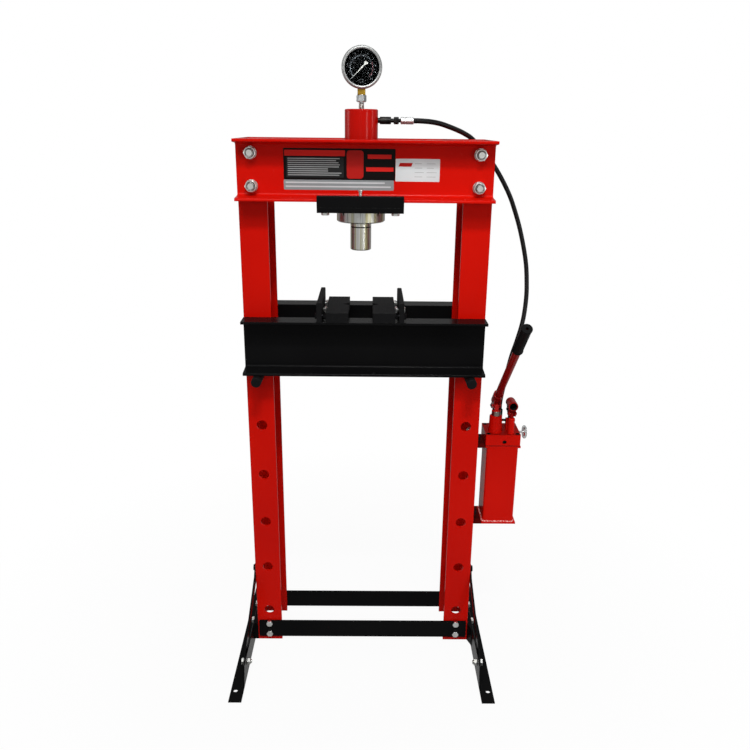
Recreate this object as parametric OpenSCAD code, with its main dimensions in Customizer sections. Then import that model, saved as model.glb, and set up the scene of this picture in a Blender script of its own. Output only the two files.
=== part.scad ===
// Hand-pumped hydraulic shop press with an H frame of rolled channels.
// Origin on the floor under the middle of the frame: X to the right, Y to the back, Z up. Millimetres.

/* [Frame] */
// Outside width over the two columns
frame_w = 700; // [640:5:800]
// Height of a column
column_h = 1606; // [1560:2:1700]
// Height of the columns' lower ends above the floor
column_low = 8; // [4:1:14]
// Depth of a column, front to back
column_d = 160; // [140:2:180]
// Length of a column's flanges
column_flange = 80; // [72:1:90]
// Thickness of a column's web and flanges
column_t = 8; // [6:0.5:10]

/* [Beams] */
// Depth of the rolled channels of the top beams and the bed
beam_h = 160; // [150:2:176]
// Width of their flanges
beam_flange = 60; // [54:1:70]
// Thickness of their webs
beam_web = 7; // [6:0.5:9]
// Mean thickness of their flanges
beam_t = 10; // [8:0.5:12]
// Slope of the inside of their flanges
beam_taper = 0.08; // [0:0.01:0.1]
// Root fillet of the rolled channels
root_r = 7; // [5:0.5:8]
// Gap between the bed and the columns
bed_gap = 1; // [0.5:0.25:2]

/* [Height adjustment] */
// Diameter of the bed pins
pin_d = 29; // [24:0.5:31]
// Length of the bed pins
pin_l = 320; // [300:5:360]
// Diameter of the pin holes
hole_d = 32; // [31.5:0.5:36]
// Number of pin holes in each flange
hole_count = 6; // [4:1:6]
// Height of the lowest hole above the column's lower end
hole_first = 115; // [112:1:130]
// Distance between pin holes
hole_pitch = 165; // [150:1:172]

/* [Feet] */
// Length of a foot
foot_l = 730; // [640:10:800]
// Height of a foot's upright leg
foot_h = 70; // [66:1:80]
// How far that leg is cut back from each end of the foot
foot_cut = 80; // [60:2:100]
// Width of a foot's flat leg
foot_w = 40; // [36:1:50]
// Thickness of a foot
foot_t = 5; // [4:0.5:7]
// Thickness of the packer between a foot and its column
packer_t = 12; // [8:1:14]
// Distance of the anchor holes from the middle
anchor_y = 319; // [290:1:330]
// Height of the braces' upper bolts
brace_z = 270; // [220:5:320]
// Distance of the braces' lower bolts from the middle
brace_y = 236; // [190:1:250]
// Width of a brace
brace_w = 28; // [24:1:34]

/* [Crossbars] */
// Height of a crossbar
crossbar_h = 60; // [56:1:70]
// Thickness of a crossbar
crossbar_t = 6; // [5:0.5:8]
// Height of a crossbar's middle above the column's lower end
crossbar_z = 45; // [42:1:70]

/* [Arbor blocks] */
// Thickness of the V blocks
block_h = 28.6; // [20:0.2:34]
// Width of a V block
block_w = 64; // [50:1:70]
// Length of a V block
block_l = 214; // [190:2:230]
// Gap between the two V blocks
block_gap = 69; // [66:1:90]
// Height of the side plates
plate_h = 57; // [40:1:58]
// Thickness of the side plates
plate_t = 14; // [10:1:18]
// Gap between a V block and its side plate
plate_gap = 11; // [9:0.5:16]
// Width of the V notch
notch_w = 27; // [16:1:34]
// Depth of the V notch
notch_d = 20; // [12:1:26]

/* [Ram] */
// Sideways place of the ram
ram_x = -13; // [-60:1:60]
// Diameter of the ram
ram_d = 60; // [52:1:62]
// Height of the ram's lower end
ram_z = 1307; // [1300:1:1330]
// Outside diameter of the cylinder
cylinder_d = 92; // [88:1:98]
// Diameter of the cylinder's threaded neck
neck_d = 86; // [82:1:87]
// Bore of the cylinder
bore_d = 74; // [72:0.5:76]
// Height of the cylinder's top end
cylinder_top = 1692; // [1680:1:1700]
// Diameter of the ring nut
ring_d = 138; // [124:1:150]
// Height of the ring nut
ring_h = 38; // [30:1:40]

/* [Carriage] */
// Width of the carriage
carriage_w = 234; // [200:2:260]
// Thickness of the carriage's lower plate
carriage_t = 14; // [12:0.5:16]
// Thickness of the hooks' feet that lie on that plate
hook_foot_t = 13.5; // [11:0.5:15]

/* [Gauge] */
// Diameter over the gauge's rim
gauge_d = 110; // [96:1:116]
// Height of the gauge's middle
gauge_z = 1798; // [1794:1:1815]
// Turn of the gauge about the upright
gauge_turn = 4; // [-20:1:20]

/* [Pump] */
// Width of the pump head
head_w = 108; // [100:1:120]
// Depth of the pump head
head_d = 98; // [96:1:112]
// Height of the pump head
head_h = 36; // [30:1:45]
// Height of the pump head's top
head_top = 746; // [720:1:800]
// Gap between the column and the pump head
head_gap = 28; // [22:1:36]
// Side of the square oil tank
tank_w = 98; // [88:1:99]
// Height of the oil tank
tank_h = 258; // [200:2:300]
// Wall of the oil tank
tank_wall = 3; // [2:0.5:5]
// Diameter of the large pump cylinder
large_d = 39; // [36:0.5:42]
// Diameter of the large plunger
large_plunger_d = 28; // [24:0.5:30]
// Diameter of the small pump cylinder
small_d = 21; // [20:0.5:24]
// Diameter of the small plunger
small_plunger_d = 12; // [10:0.5:14]
// Diameter of the handle tube
handle_d = 22; // [20:0.5:22]
// Length of the handle tube
handle_l = 480; // [420:5:560]
// Outside diameter of a handle socket
socket_d = 30; // [28:0.5:32]
// Angle of the raised handle above level
handle_angle = 42; // [38:1:46]

/* [Hose] */
// Diameter of the hose
hose_d = 14; // [11:0.5:15]

/* [Hidden] */

RED = "crimson";
DEEP_RED = "firebrick";
BLACK = "#1c1c1e";
DARK_STEEL = "#3a3b3d";
ZINC = "gainsboro";
STEEL = "silver";
BRASS = "goldenrod";

// running clearance on a radius, and the seat gap between loose parts
run = 0.05;
seat = 0.3;

col_in = frame_w / 2 - column_flange;
hole_x = frame_w / 2 - column_flange / 2;
column_top = column_low + column_h;
beam_mid = column_top - beam_h / 2;
beam_low = column_top - beam_h;
beam_bolt_dz = 43.5;
beam_bolt_d = 20;
washer_t = 3;

pin_hole_z = column_low + hole_first + (hole_count - 1) * hole_pitch;
pin_z = pin_hole_z - hole_d / 2 + pin_d / 2 + seat;
bed_z = pin_z + pin_d / 2 + seat;
bed_top = bed_z + beam_h;
bed_y = column_d / 2 + bed_gap;

m12_d = 12;
m12_hole = 13;
m12_af = 19;
m12_head = 7.5;
m12_nut = 10;
bolt_tail = 4;
foot_x = frame_w / 2 + packer_t;
foot_bolt_y = [-45, 45];
foot_bolt_z = foot_h - 12;
brace_foot_z = 45;
brace_head = 4.5;
packer_nose = 30;
brace_t = 5;
brace_top_y = 56;
crossbar_bolt_dz = 19.5;
crossbar_bolt_up = 3;
crossbar_l = frame_w - 10;

block_mid_y = -35;
notch_y = -27;
block_bolt_y = [-65, 15, 95];
block_bolt_d = 10;
block_inner = [ram_x + 1.5 - block_gap / 2, ram_x + 1.5 + block_gap / 2];

// the carriage hangs on the beams' lower flanges
carriage_y = column_d / 2 + beam_flange + 6;
hook_gap = 0.5;
hook_low = beam_low - hook_gap - hook_foot_t;
plate_low = hook_low - carriage_t;
hook_lip = 22;
hook_lip_t = 6.5;
hook_foot_l = 30;
flange_tip_t = beam_t - beam_taper * (beam_flange - beam_web) / 2;
hook_lip_z = beam_low + flange_tip_t + beam_taper * hook_lip + hook_gap;
hook_top = hook_lip_z + hook_lip_t;
carriage_bolt_x = carriage_w / 2 - 22;
carriage_bolt_y = carriage_y - 18;
lock_y = carriage_y - 11;
ring_low = plate_low - ring_h;
ring_lip = 6;
gland_top = ring_low + ring_lip + 30;
cylinder_cap = 20;
piston_h = 20;
piston_top = cylinder_top - cylinder_cap - 12;
spring_wire = 4;
spring_turns = 11;
port_z = cylinder_top - 29;

gauge_r = gauge_d / 2;
gauge_front = -17;
gauge_back = 17;
needle_rest = 225;

pump_y = -5;
head_x = frame_w / 2 + head_gap + head_w / 2;
head_low = head_top - head_h;
gasket_t = 2.5;
shelf_t = 5.5;
shelf_top = head_low - gasket_t;
tank_low = shelf_top - shelf_t - tank_h;
large_x = head_x - 22;
large_y = pump_y - 17.5;
large_top = head_top + 54;
small_x = head_x + 24;
small_y = pump_y - 35;
small_top = head_top + 52;

// lever geometry of the two handle sockets, each about its rear pivot
lever_l = 32;
lever_rise = 20;
socket_offset = 7.7;
socket_rim = 75;
socket_l = 52;
pump_pin_d = 8;
large_pin_z = head_top + 86;
large_pivot = [large_y + lever_l * cos(lever_rise), large_pin_z - lever_l * sin(lever_rise)];
small_lever_l = 22;
small_offset = 18.5;
small_rim = 36;
small_pin_z = head_top + 66;
small_pivot = [small_y + small_lever_l * cos(lever_rise), small_pin_z + small_lever_l * sin(lever_rise)];
small_angle = handle_angle - 2 * lever_rise;
large_foot = [large_pivot[0] + 2, head_top + 34];
small_foot = [small_pivot[0] + 6, head_top + 34];
release_y = pump_y + 8;
relief_x = head_x + 4.5;
relief_z = head_top - 25;
relief_d = 13;
release_z = head_low + 23;
tongue_t = 12;
cheek_t = 5;
cheek_gap = 0.5;
socket_bore = handle_d + 0.4;
inserted = 46;
grip_l = 125;

outlet_x = head_x - 2;
outlet_y = pump_y + 36;
outlet_h = 54;

coupler_x = ram_x + cylinder_d / 2;
coupler_l = 63;
ferrule_l = 35.5;
hose_x = coupler_x + coupler_l + ferrule_l;
hose_route = [
    [hose_x + seat, 0, port_z], [hose_x + 8, 0, port_z], [hose_x + 15, 0, port_z],
     [179, 7, 1661], [209, 25, 1656], [240, 55, 1647],
    [270, 93, 1637], [292, 124, 1628], [314, 150, 1616], [344, 166, 1589], [376, 172, 1554],
    [406, 173, 1513], [435, 172, 1464], [455, 169, 1420], [481, 161, 1344], [502, 148, 1253],
    [508, 135, 1184], [507, 122, 1131], [498, 104, 1069], [480, 84, 1011], [463, 66, 967],
    [450, 50, 922], [439, 37, 876], [432, 31, 840], [outlet_x, outlet_y, head_top + outlet_h + 15],
    [outlet_x, outlet_y, head_top + outlet_h + seat]
];

// ---------- outlines ----------

function unit(v) = v / norm(v);

// the arc that rounds corner p between its neighbours a and b
function corner_arc(a, p, b, r, n) =
    let (u = unit(a - p), v = unit(b - p), half = acos(u * v) / 2)
    let (c = p + unit(u + v) * r / sin(half), s = p + u * r / tan(half) - c, e = p + v * r / tan(half) - c)
    let (a0 = atan2(s[1], s[0]), turn = atan2(s[0] * e[1] - s[1] * e[0], s * e))
    [for (i = [0:n]) c + r * [cos(a0 + turn * i / n), sin(a0 + turn * i / n)]];

// an outline whose corners are rounded by the radii given
function rounded(pts, radii, n = 4) =
    let (k = len(pts))
    [for (i = [0:k - 1])
        each radii[i] > 0 ? corner_arc(pts[(i + k - 1) % k], pts[i], pts[(i + 1) % k], radii[i], n) : [pts[i]]];

function same(r, k) = [for (i = [1:k]) r];

// half of a channel section: u runs along the flange, v across the web
function channel(depth, flange, web, t, taper, root, toe, heel) =
    let (h = depth / 2, tip = t - taper * (flange - web) / 2, base = t + taper * (flange - web) / 2)
    rounded([[0, -h], [flange, -h], [flange, -h + tip], [web, -h + base],
             [web, h - base], [flange, h - tip], [flange, h], [0, h]],
            [heel, 1, toe, root, root, toe, 1, heel], 5);

module rounded_rect(w, h, r) {
    polygon(rounded([[-w / 2, -h / 2], [w / 2, -h / 2], [w / 2, h / 2], [-w / 2, h / 2]], same(r, 4)));
}

// a round-ended bar between two points with different end radii
module tapered_bar(p, rp, q, rq) {
    d = norm(q - p);
    a = atan2(q[1] - p[1], q[0] - p[0]);
    lean = acos((rp - rq) / d);
    translate(p) circle(r = rp, $fn = 48);
    translate(q) circle(r = rq, $fn = 48);
    polygon([p + rp * [cos(a + lean), sin(a + lean)], p + rp * [cos(a - lean), sin(a - lean)],
             q + rq * [cos(a - lean), sin(a - lean)], q + rq * [cos(a + lean), sin(a + lean)]]);
}

// ---------- turned and threaded parts ----------

module rod(d, l, chamfer = 0.8) {
    rotate_extrude($fn = 64)
        polygon([[0, 0], [d / 2 - chamfer, 0], [d / 2, chamfer], [d / 2, l - chamfer], [d / 2 - chamfer, l], [0, l]]);
}

module tube(d_out, d_in, l, chamfer = 0.8) {
    rotate_extrude($fn = 64)
        polygon([[d_in / 2, 0], [d_out / 2 - chamfer, 0], [d_out / 2, chamfer], [d_out / 2, l - chamfer],
                 [d_out / 2 - chamfer, l], [d_in / 2, l]]);
}

// a hexagon with its corners turned off at the top
module hex(af, h, both = false) {
    r = af / 2 / cos(30);
    intersection() {
        cylinder(r = r, h = h, $fn = 6);
        rotate_extrude($fn = 48)
            polygon([[0, 0], [both ? af / 2 * 0.97 : r + 1, 0], [r + 1, both ? h * 0.2 : 0],
                     [r + 1, h * 0.8], [af / 2 * 0.97, h], [0, h]]);
    }
}

// head below the seat plane, shank above it
module bolt(d, af, head, l) {
    mirror([0, 0, 1]) hex(af, head);
    rod(d, l);
}

module nut(d, af, h) {
    difference() {
        hex(af, h, true);
        translate([0, 0, -1]) cylinder(r = d / 2 + run, h = h + 2, $fn = 48);
    }
}

// turn a part that stands along Z so that it stands along one of the sides
module along_x(s) {
    rotate([0, s * 90, 0]) children();
}

module along_y(s) {
    rotate([-s * 90, 0, 0]) children();
}

// ---------- columns and top beams ----------

module beam_bolt_places() {
    for (x = [-hole_x, hole_x], dz = [-beam_bolt_dz, beam_bolt_dz])
        translate([x, 0, beam_mid + dz]) children();
}

module crossbar_bolt_places() {
    for (x = [-hole_x, hole_x], dz = [-crossbar_bolt_dz, crossbar_bolt_dz])
        translate([x, 0, column_low + crossbar_z + crossbar_bolt_up + dz]) children();
}

module through_y(d, l) {
    rotate([90, 0, 0]) cylinder(d = d, h = l, center = true, $fn = 48);
}

module through_x(d, l) {
    rotate([0, 90, 0]) cylinder(d = d, h = l, center = true, $fn = 48);
}

module column(s) {
    cut = column_d + 20;
    outline = channel(column_d, column_flange, column_t, column_t, 0, 5, 1, 2);
    color(RED) difference() {
        translate([0, 0, column_low]) linear_extrude(column_h)
            polygon([for (p = outline) [s * (frame_w / 2 - p[0]), p[1]]]);
        for (k = [0:hole_count - 1])
            translate([s * hole_x, 0, column_low + hole_first + k * hole_pitch]) through_y(hole_d, cut);
        beam_bolt_places() through_y(beam_bolt_d + 2, cut);
        crossbar_bolt_places() through_y(m12_hole, cut);
        for (y = [-brace_top_y, brace_top_y])
            translate([s * frame_w / 2, y, brace_z]) through_x(m12_hole, 3 * column_t);
        for (y = foot_bolt_y)
            translate([s * frame_w / 2, y, foot_bolt_z]) through_x(m12_hole, 3 * column_t);
        if (s > 0)
            bracket_bolt_places() through_x(m12_hole, 3 * column_t);
    }
}

module top_beam(s) {
    outline = channel(beam_h, beam_flange, beam_web, beam_t, beam_taper, root_r, 4, 1);
    color(RED) difference() {
        rotate([90, 0, 90]) linear_extrude(frame_w, center = true)
            polygon([for (p = outline) [s * (column_d / 2 + p[0]), beam_mid + p[1]]]);
        beam_bolt_places() translate([0, s * column_d / 2, 0]) through_y(beam_bolt_d + 2, 4 * beam_web);
    }
}

module beam_bolts() {
    grip = column_t + beam_web + washer_t;
    color(ZINC) for (s = [-1, 1]) beam_bolt_places()
        translate([0, s * (column_d / 2 - column_t), 0]) along_y(s) bolt(beam_bolt_d, 30, 12.5, grip + 22);
}

// the nuts of those bolts, each with its washer under it
module beam_nuts() {
    color(ZINC) for (s = [-1, 1]) beam_bolt_places()
        translate([0, s * (column_d / 2 + beam_web), 0]) along_y(s) {
            tube(34.5, 21, washer_t - 0.02, 0.5);
            translate([0, 0, washer_t]) nut(beam_bolt_d, 30, 16);
        }
}

module crossbar(s) {
    color(BLACK) difference() {
        translate([0, s * (column_d + crossbar_t) / 2, column_low + crossbar_z])
            rotate([90, 0, 0]) linear_extrude(crossbar_t, center = true) rounded_rect(crossbar_l, crossbar_h, 3);
        crossbar_bolt_places()
            translate([0, s * column_d / 2, 0]) through_y(m12_hole, 4 * crossbar_t);
    }
}

// ---------- feet and braces ----------

// an angle iron whose upright leg stops short of both ends, with a packer towards the column
module foot(s) {
    angle_iron = rounded([[foot_x, 0], [foot_x + foot_w, 0], [foot_x + foot_w, foot_t],
                          [foot_x + foot_t, foot_t], [foot_x + foot_t, foot_h], [foot_x, foot_h]],
                         [1, 1, 3, foot_t, 3, 1]);
    packer_y = column_d / 2;
    nose = s > 0 ? packer_nose : 0;
    packer = [[foot_x - packer_t, -packer_y], [foot_x, -packer_y - nose], [foot_x + 1, -packer_y - nose],
              [foot_x + 1, packer_y], [foot_x - packer_t, packer_y]];
    color(BLACK) difference() {
        union() {
            rotate([90, 0, 0]) linear_extrude(foot_l, center = true)
                polygon([for (p = angle_iron) [s * p[0], p[1]]]);
            translate([0, 0, column_low]) linear_extrude(foot_h - column_low)
                polygon([for (p = packer) [s * p[0], p[1]]]);
        }
        for (y = [-anchor_y, anchor_y])
            translate([s * (foot_x + foot_w - 15), y, -1]) cylinder(d = 14, h = foot_t + 2, $fn = 48);
        for (y = concat([for (b = foot_bolt_y) [b, foot_bolt_z]], [[-brace_y, brace_foot_z], [brace_y, brace_foot_z]]))
            translate([s * foot_x, y[0], y[1]]) through_x(m12_hole, 4 * packer_t);
        for (f = [-1, 1]) translate([s * foot_x, f * foot_l / 2, foot_t]) rotate([90, 0, 90])
            linear_extrude(3 * foot_w, center = true)
                polygon([[-f * (foot_cut - 20), 0], [-f * foot_cut, foot_h], [f * 9, foot_h], [f * 9, 0]]);
    }
}

// a flat bar from the column's web (upper end) to the foot's upright leg, set out by a joggle
module brace(s, f) {
    dy = f * (brace_y - brace_top_y);
    dz = brace_foot_z - brace_z;
    l = norm([dy, dz]);
    end = brace_w / 2;
    top_x = frame_w / 2;
    low_x = foot_x + foot_t;
    side = [[top_x, -end], [top_x, 35], [low_x, l - 35], [low_x, l + end],
            [low_x + brace_t, l + end], [low_x + brace_t, l - 35], [top_x + brace_t, 35], [top_x + brace_t, -end]];
    color(BLACK) translate([0, f * brace_top_y, brace_z]) rotate([atan2(dz, dy), 0, 0]) difference() {
        intersection() {
            linear_extrude(brace_w, center = true) polygon([for (p = side) [s * p[0], p[1]]]);
            rotate([0, 90, 0]) linear_extrude(3 * frame_w, center = true) {
                circle(r = end, $fn = 48);
                translate([0, l]) circle(r = end, $fn = 48);
                translate([-end, 0]) square([2 * end, l]);
            }
        }
        translate([s * top_x, 0, 0]) through_x(m12_hole, 4 * brace_t);
        translate([s * low_x, l, 0]) through_x(m12_hole, 4 * brace_t);
    }
}

module braces(s) {
    brace(s, -1);
    brace(s, 1);
}

module bracket_bolt_places() {
    for (y = [-28, 28], z = [shelf_top + 22, tank_low + 24])
        translate([frame_w / 2, pump_y + y, z]) children();
}

// where the M12 fasteners of the frame sit: each turned so that its head is outermost
module frame_fasteners(nuts) {
    module m12(grip, head = m12_head) {
        if (nuts)
            translate([0, 0, grip]) nut(m12_d, m12_af, m12_nut);
        else
            bolt(m12_d, m12_af, head, grip + m12_nut + bolt_tail);
    }
    for (s = [-1, 1]) {
        crossbar_bolt_places() translate([0, s * (column_d / 2 + crossbar_t), 0])
            along_y(-s) m12(crossbar_t + column_t);
        for (y = foot_bolt_y) translate([s * (foot_x + foot_t), y, foot_bolt_z])
            along_x(-s) m12(foot_t + packer_t + column_t);
        for (f = [-1, 1]) {
            translate([s * (frame_w / 2 + brace_t), f * brace_top_y, brace_z])
                along_x(-s) m12(brace_t + column_t, brace_head);
            translate([s * (foot_x + foot_t + brace_t), f * brace_y, brace_foot_z])
                along_x(-s) m12(brace_t + foot_t);
        }
    }
    bracket_bolt_places() translate([shelf_t, 0, 0]) along_x(-1) m12(shelf_t + column_t);
}

module frame_bolts() {
    color(ZINC) frame_fasteners(false);
}

module frame_nuts() {
    color(ZINC) frame_fasteners(true);
}

// ---------- bed ----------

module bed_channel(s) {
    outline = channel(beam_h, beam_flange, beam_web, beam_t, beam_taper, root_r, 4, 1);
    color(BLACK) rotate([90, 0, 90]) linear_extrude(frame_w, center = true)
        polygon([for (p = outline) [s * (bed_y + p[0]), bed_z + beam_h / 2 + p[1]]]);
}

module bed_spacers() {
    t = 8;
    color(BLACK) for (s = [-1, 1])
        translate([s * (col_in - 14), 0, bed_z + 20 + 40]) rotate([0, 90, 0])
            linear_extrude(t, center = true) rounded_rect(80, 2 * bed_y, 2);
}

module bed_pin(s) {
    color(DARK_STEEL) translate([s * hole_x, -pin_l / 2, pin_z]) along_y(1) rod(pin_d, pin_l, 2);
}

module v_block(s) {
    inner = s < 0 ? block_inner[0] : block_inner[1];
    notch = [[inner - s, notch_y - notch_w / 2 - 1.3], [inner + s * notch_d, notch_y], [inner - s, notch_y + notch_w / 2 + 1.3]];
    color(DARK_STEEL) translate([0, 0, bed_top]) difference() {
        translate([inner + s * block_w / 2, block_mid_y, 0]) linear_extrude(block_h) rounded_rect(block_w, block_l, 2);
        translate([0, 0, -1]) linear_extrude(block_h + 2) polygon(notch);
        for (y = block_bolt_y)
            translate([inner + s * block_w, block_mid_y + y - 15, block_h / 2]) through_x(block_bolt_d + 2 * run, 50);
    }
}

module side_plate(s) {
    inner = (s < 0 ? block_inner[0] : block_inner[1]) + s * (block_w + plate_gap);
    profile = rounded([[inner, 0], [inner + s * plate_t, 0], [inner + s * plate_t, plate_h], [inner, plate_h]], [0, 0, 3, 3]);
    color(DARK_STEEL) translate([0, block_mid_y, bed_top]) difference() {
        rotate([90, 0, 0]) linear_extrude(block_l, center = true) polygon(profile);
        for (y = block_bolt_y)
            translate([inner, y - 15, block_h / 2]) through_x(block_bolt_d + 1, 4 * plate_t);
    }
}

module block_bolts(s) {
    head = 6.4;
    af = 17;
    nut_h = 8;
    color(ZINC) for (y = block_bolt_y) {
        inner = s < 0 ? block_inner[0] : block_inner[1];
        outer = inner + s * (block_w + plate_gap + plate_t);
        translate([outer, block_mid_y + y - 15, bed_top + block_h / 2]) along_x(-s)
            bolt(block_bolt_d, af, head, plate_t + plate_gap + 25);
        translate([inner + s * block_w, block_mid_y + y - 15, bed_top + block_h / 2]) along_x(s)
            nut(block_bolt_d, af, nut_h);
    }
}

// ---------- carriage ----------

module carriage_bolt_places() {
    for (x = [-carriage_bolt_x, carriage_bolt_x], y = [-carriage_bolt_y, carriage_bolt_y])
        translate([ram_x + x, y, plate_low]) children();
}

module carriage_plate() {
    color(BLACK) difference() {
        translate([ram_x, 0, plate_low]) linear_extrude(carriage_t) rounded_rect(carriage_w, 2 * carriage_y, 2);
        translate([ram_x, 0, plate_low - 1]) cylinder(r = neck_d / 2 + 0.2, h = carriage_t + 2, $fn = 96);
        carriage_bolt_places() translate([0, 0, -1]) cylinder(d = 13, h = carriage_t + 2, $fn = 48);
    }
}

// the two bars that hook over the edges of the beams' lower flanges
module carriage_hooks() {
    edge = column_d / 2 + beam_flange + 0.6;
    hook = rounded([[carriage_y, hook_low], [carriage_y, hook_top], [carriage_y - hook_lip, hook_top],
                    [carriage_y - hook_lip, hook_lip_z], [edge, hook_lip_z], [edge, hook_low + hook_foot_t],
                    [carriage_y - hook_foot_l, hook_low + hook_foot_t], [carriage_y - hook_foot_l, hook_low]],
                   [0, 2, 1, 1, 1, 1, 1, 0]);
    color(BLACK) for (s = [-1, 1]) difference() {
        translate([ram_x, 0, 0]) rotate([90, 0, 90]) linear_extrude(carriage_w, center = true)
            polygon([for (p = hook) [s * p[0], p[1]]]);
        carriage_bolt_places() translate([0, 0, carriage_t - 1]) cylinder(r = 6 + run, h = hook_foot_t, $fn = 48);
        if (s < 0)
            translate([ram_x, -lock_y, hook_lip_z - 1]) cylinder(r = 4 + run, h = hook_lip_t + 2, $fn = 48);
    }
}

module carriage_bolts() {
    color(ZINC) carriage_bolt_places() bolt(m12_d, m12_af, m12_head, carriage_t + hook_foot_t - 2);
}

module lock_screw() {
    tip = beam_low + flange_tip_t + beam_taper * 10 + seat;
    color(ZINC) translate([ram_x, -lock_y, 0]) {
        translate([0, 0, tip]) rod(8, hook_top + 12 - tip, 1);
        translate([0, 0, hook_top + 11]) rod(13, 6, 1.2);
    }
}

// ---------- cylinder and ram ----------

module cylinder_body() {
    r = cylinder_d / 2;
    neck_top = plate_low + carriage_t;
    neck_low = ring_low + ring_lip;
    top = corner_arc([r - 10, cylinder_top], [r, cylinder_top], [r, cylinder_top - 10], 4, 6);
    color(RED) translate([ram_x, 0, 0]) difference() {
        rotate_extrude($fn = 96) polygon(concat(
            [[bore_d / 2, neck_low], [bore_d / 2, cylinder_top - cylinder_cap], [0, cylinder_top - cylinder_cap], [0, cylinder_top]],
            top, [[r, neck_top], [neck_d / 2, neck_top], [neck_d / 2, neck_low + 1.5], [neck_d / 2 - 1.5, neck_low]]));
        translate([0, 0, cylinder_top - cylinder_cap - 1]) cylinder(d = 6, h = cylinder_cap + 2, $fn = 32);
        translate([r, 0, port_z]) through_x(6, 30);
    }
}

module ring_nut() {
    r = ring_d / 2;
    color(STEEL) translate([ram_x, 0, ring_low]) difference() {
        rotate_extrude($fn = 96) polygon([[ram_d / 2 + 1, 0], [r - 4, 0], [r, 3], [r, ring_h - 1.5], [r - 1.5, ring_h],
            [neck_d / 2 + run, ring_h], [neck_d / 2 + run, ring_lip], [ram_d / 2 + 1, ring_lip]]);
        for (a = [45:90:315])
            rotate([0, 0, a]) translate([r, 0, ring_h / 2 + 6]) through_x(8, 24);
    }
}

module gland() {
    color(STEEL) translate([ram_x, 0, ring_low + ring_lip])
        tube(bore_d - 2 * run, ram_d + 2 * run, gland_top - ring_low - ring_lip, 1);
}

module ram() {
    r = ram_d / 2;
    groove = ram_z + 65;
    color(STEEL) translate([ram_x, 0, 0]) rotate_extrude($fn = 96) polygon(concat(
        [[0, ram_z + 26], [8, ram_z + 26], [8, ram_z]],
        corner_arc([0, ram_z], [r, ram_z], [r, ram_z + 9], 4, 5),
        [[r, groove], [r - 1, groove + 0.5], [r - 1, groove + 2], [r, groove + 2.5],
         [r, piston_top - piston_h], [bore_d / 2 - run, piston_top - piston_h],
         [bore_d / 2 - run, piston_top - 2], [bore_d / 2 - 2, piston_top], [0, piston_top]]));
}

// a wire swept along a helix between the gland and the piston
module return_spring() {
    low = gland_top + spring_wire / 2 + seat;
    high = piston_top - piston_h - spring_wire / 2 - seat;
    r = (bore_d + ram_d) / 4;
    per_turn = 14;
    sides = 6;
    steps = spring_turns * per_turn;
    ring = function(i) let (a = 360 * i / per_turn, z = low + (high - low) * i / steps)
        [for (k = [0:sides - 1]) let (b = 360 * k / sides, q = r + spring_wire / 2 * cos(b))
            [q * cos(a), q * sin(a), z + spring_wire / 2 * sin(b)]];
    color(STEEL) translate([ram_x, 0, 0]) sweep([for (i = [0:steps]) ring(i)]);
}

// skin over a list of rings of points, with flat ends
module sweep(rings) {
    n = len(rings[0]);
    m = len(rings);
    sides = [for (i = [0:m - 2], k = [0:n - 1])
        [i * n + k, i * n + (k + 1) % n, (i + 1) * n + (k + 1) % n, (i + 1) * n + k]];
    first = [for (k = [0:n - 1]) n - 1 - k];
    last = [for (k = [0:n - 1]) (m - 1) * n + k];
    polyhedron([for (r = rings) each r], concat([first, last], sides), convexity = 10);
}

// ---------- gauge ----------

// the gauge's own axes: Z forward out of the dial, with its middle at the origin
module at_gauge() {
    translate([ram_x, 0, gauge_z]) rotate([0, 0, gauge_turn]) rotate([90, 0, 0]) children();
}

module gauge_fitting() {
    nipple_h = 18;
    nut_h = 19;
    color(ZINC) translate([ram_x, 0, cylinder_top]) {
        rod(14, nipple_h + 2);
        translate([0, 0, nipple_h]) hex(24, nut_h, true);
    }
}

module gauge_stem() {
    low = cylinder_top + 37;
    color(BRASS) difference() {
        translate([ram_x, 0, low]) rotate([0, 0, gauge_turn]) linear_extrude(gauge_z - gauge_r + 8 - low)
            rounded_rect(21, 21, 2);
        at_gauge() cylinder(r = gauge_r - 3 + run, h = 60, center = true, $fn = 96);
        at_gauge() translate([0, 0, 5.9]) cylinder(r = gauge_r + run, h = 30, $fn = 96);
    }
}

module gauge_case() {
    r = gauge_r;
    color(STEEL) at_gauge() rotate_extrude($fn = 96) polygon([
        [0, -gauge_back], [r - 6, -gauge_back], [r - 3, 3 - gauge_back], [r - 3, 6], [r - 1.5, 7], [r, 9],
        [r, 15], [r - 2, 18], [r - 5, 19.5], [r - 8, 18.5], [r - 8, 17], [r - 4.5, 17], [r - 4.5, -2 + run],
        [r - 7, -2 + run], [r - 7, 3 - gauge_back], [0, 3 - gauge_back]]);
}

module gauge_dial() {
    color(BLACK) at_gauge() difference() {
        translate([0, 0, -2 + 2 * run]) cylinder(r = gauge_r - 4.5 - run, h = 1.2, $fn = 96);
        translate([0, 0, -3]) cylinder(r = 1.5 + run, h = 4, $fn = 32);
    }
}

module gauge_needle() {
    tip = gauge_r - 14;
    tail = 14;
    outline = [[0, -1.6], [tip, -0.25], [tip, 0.25], [0, 1.6], [-6, 1.6], [-tail, 4.2], [-tail - 1.5, 3.2],
               [-tail - 1.5, -3.2], [-tail, -4.2], [-6, -1.6]];
    color("white") at_gauge() {
        translate([0, 0, 3]) rotate([0, 0, needle_rest]) linear_extrude(0.8) polygon(outline);
        translate([0, 0, 1]) cylinder(r = 3.6, h = 4, $fn = 48);
        translate([0, 0, -8]) cylinder(r = 1.5, h = 9.5, $fn = 32);
    }
}

module gauge_glass() {
    color("lightcyan", 0.3) at_gauge() translate([0, 0, 17 - 2.5 - 0.02])
        cylinder(r = gauge_r - 4.5 - run, h = 2.5, $fn = 96);
}

// ---------- hose ----------

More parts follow.
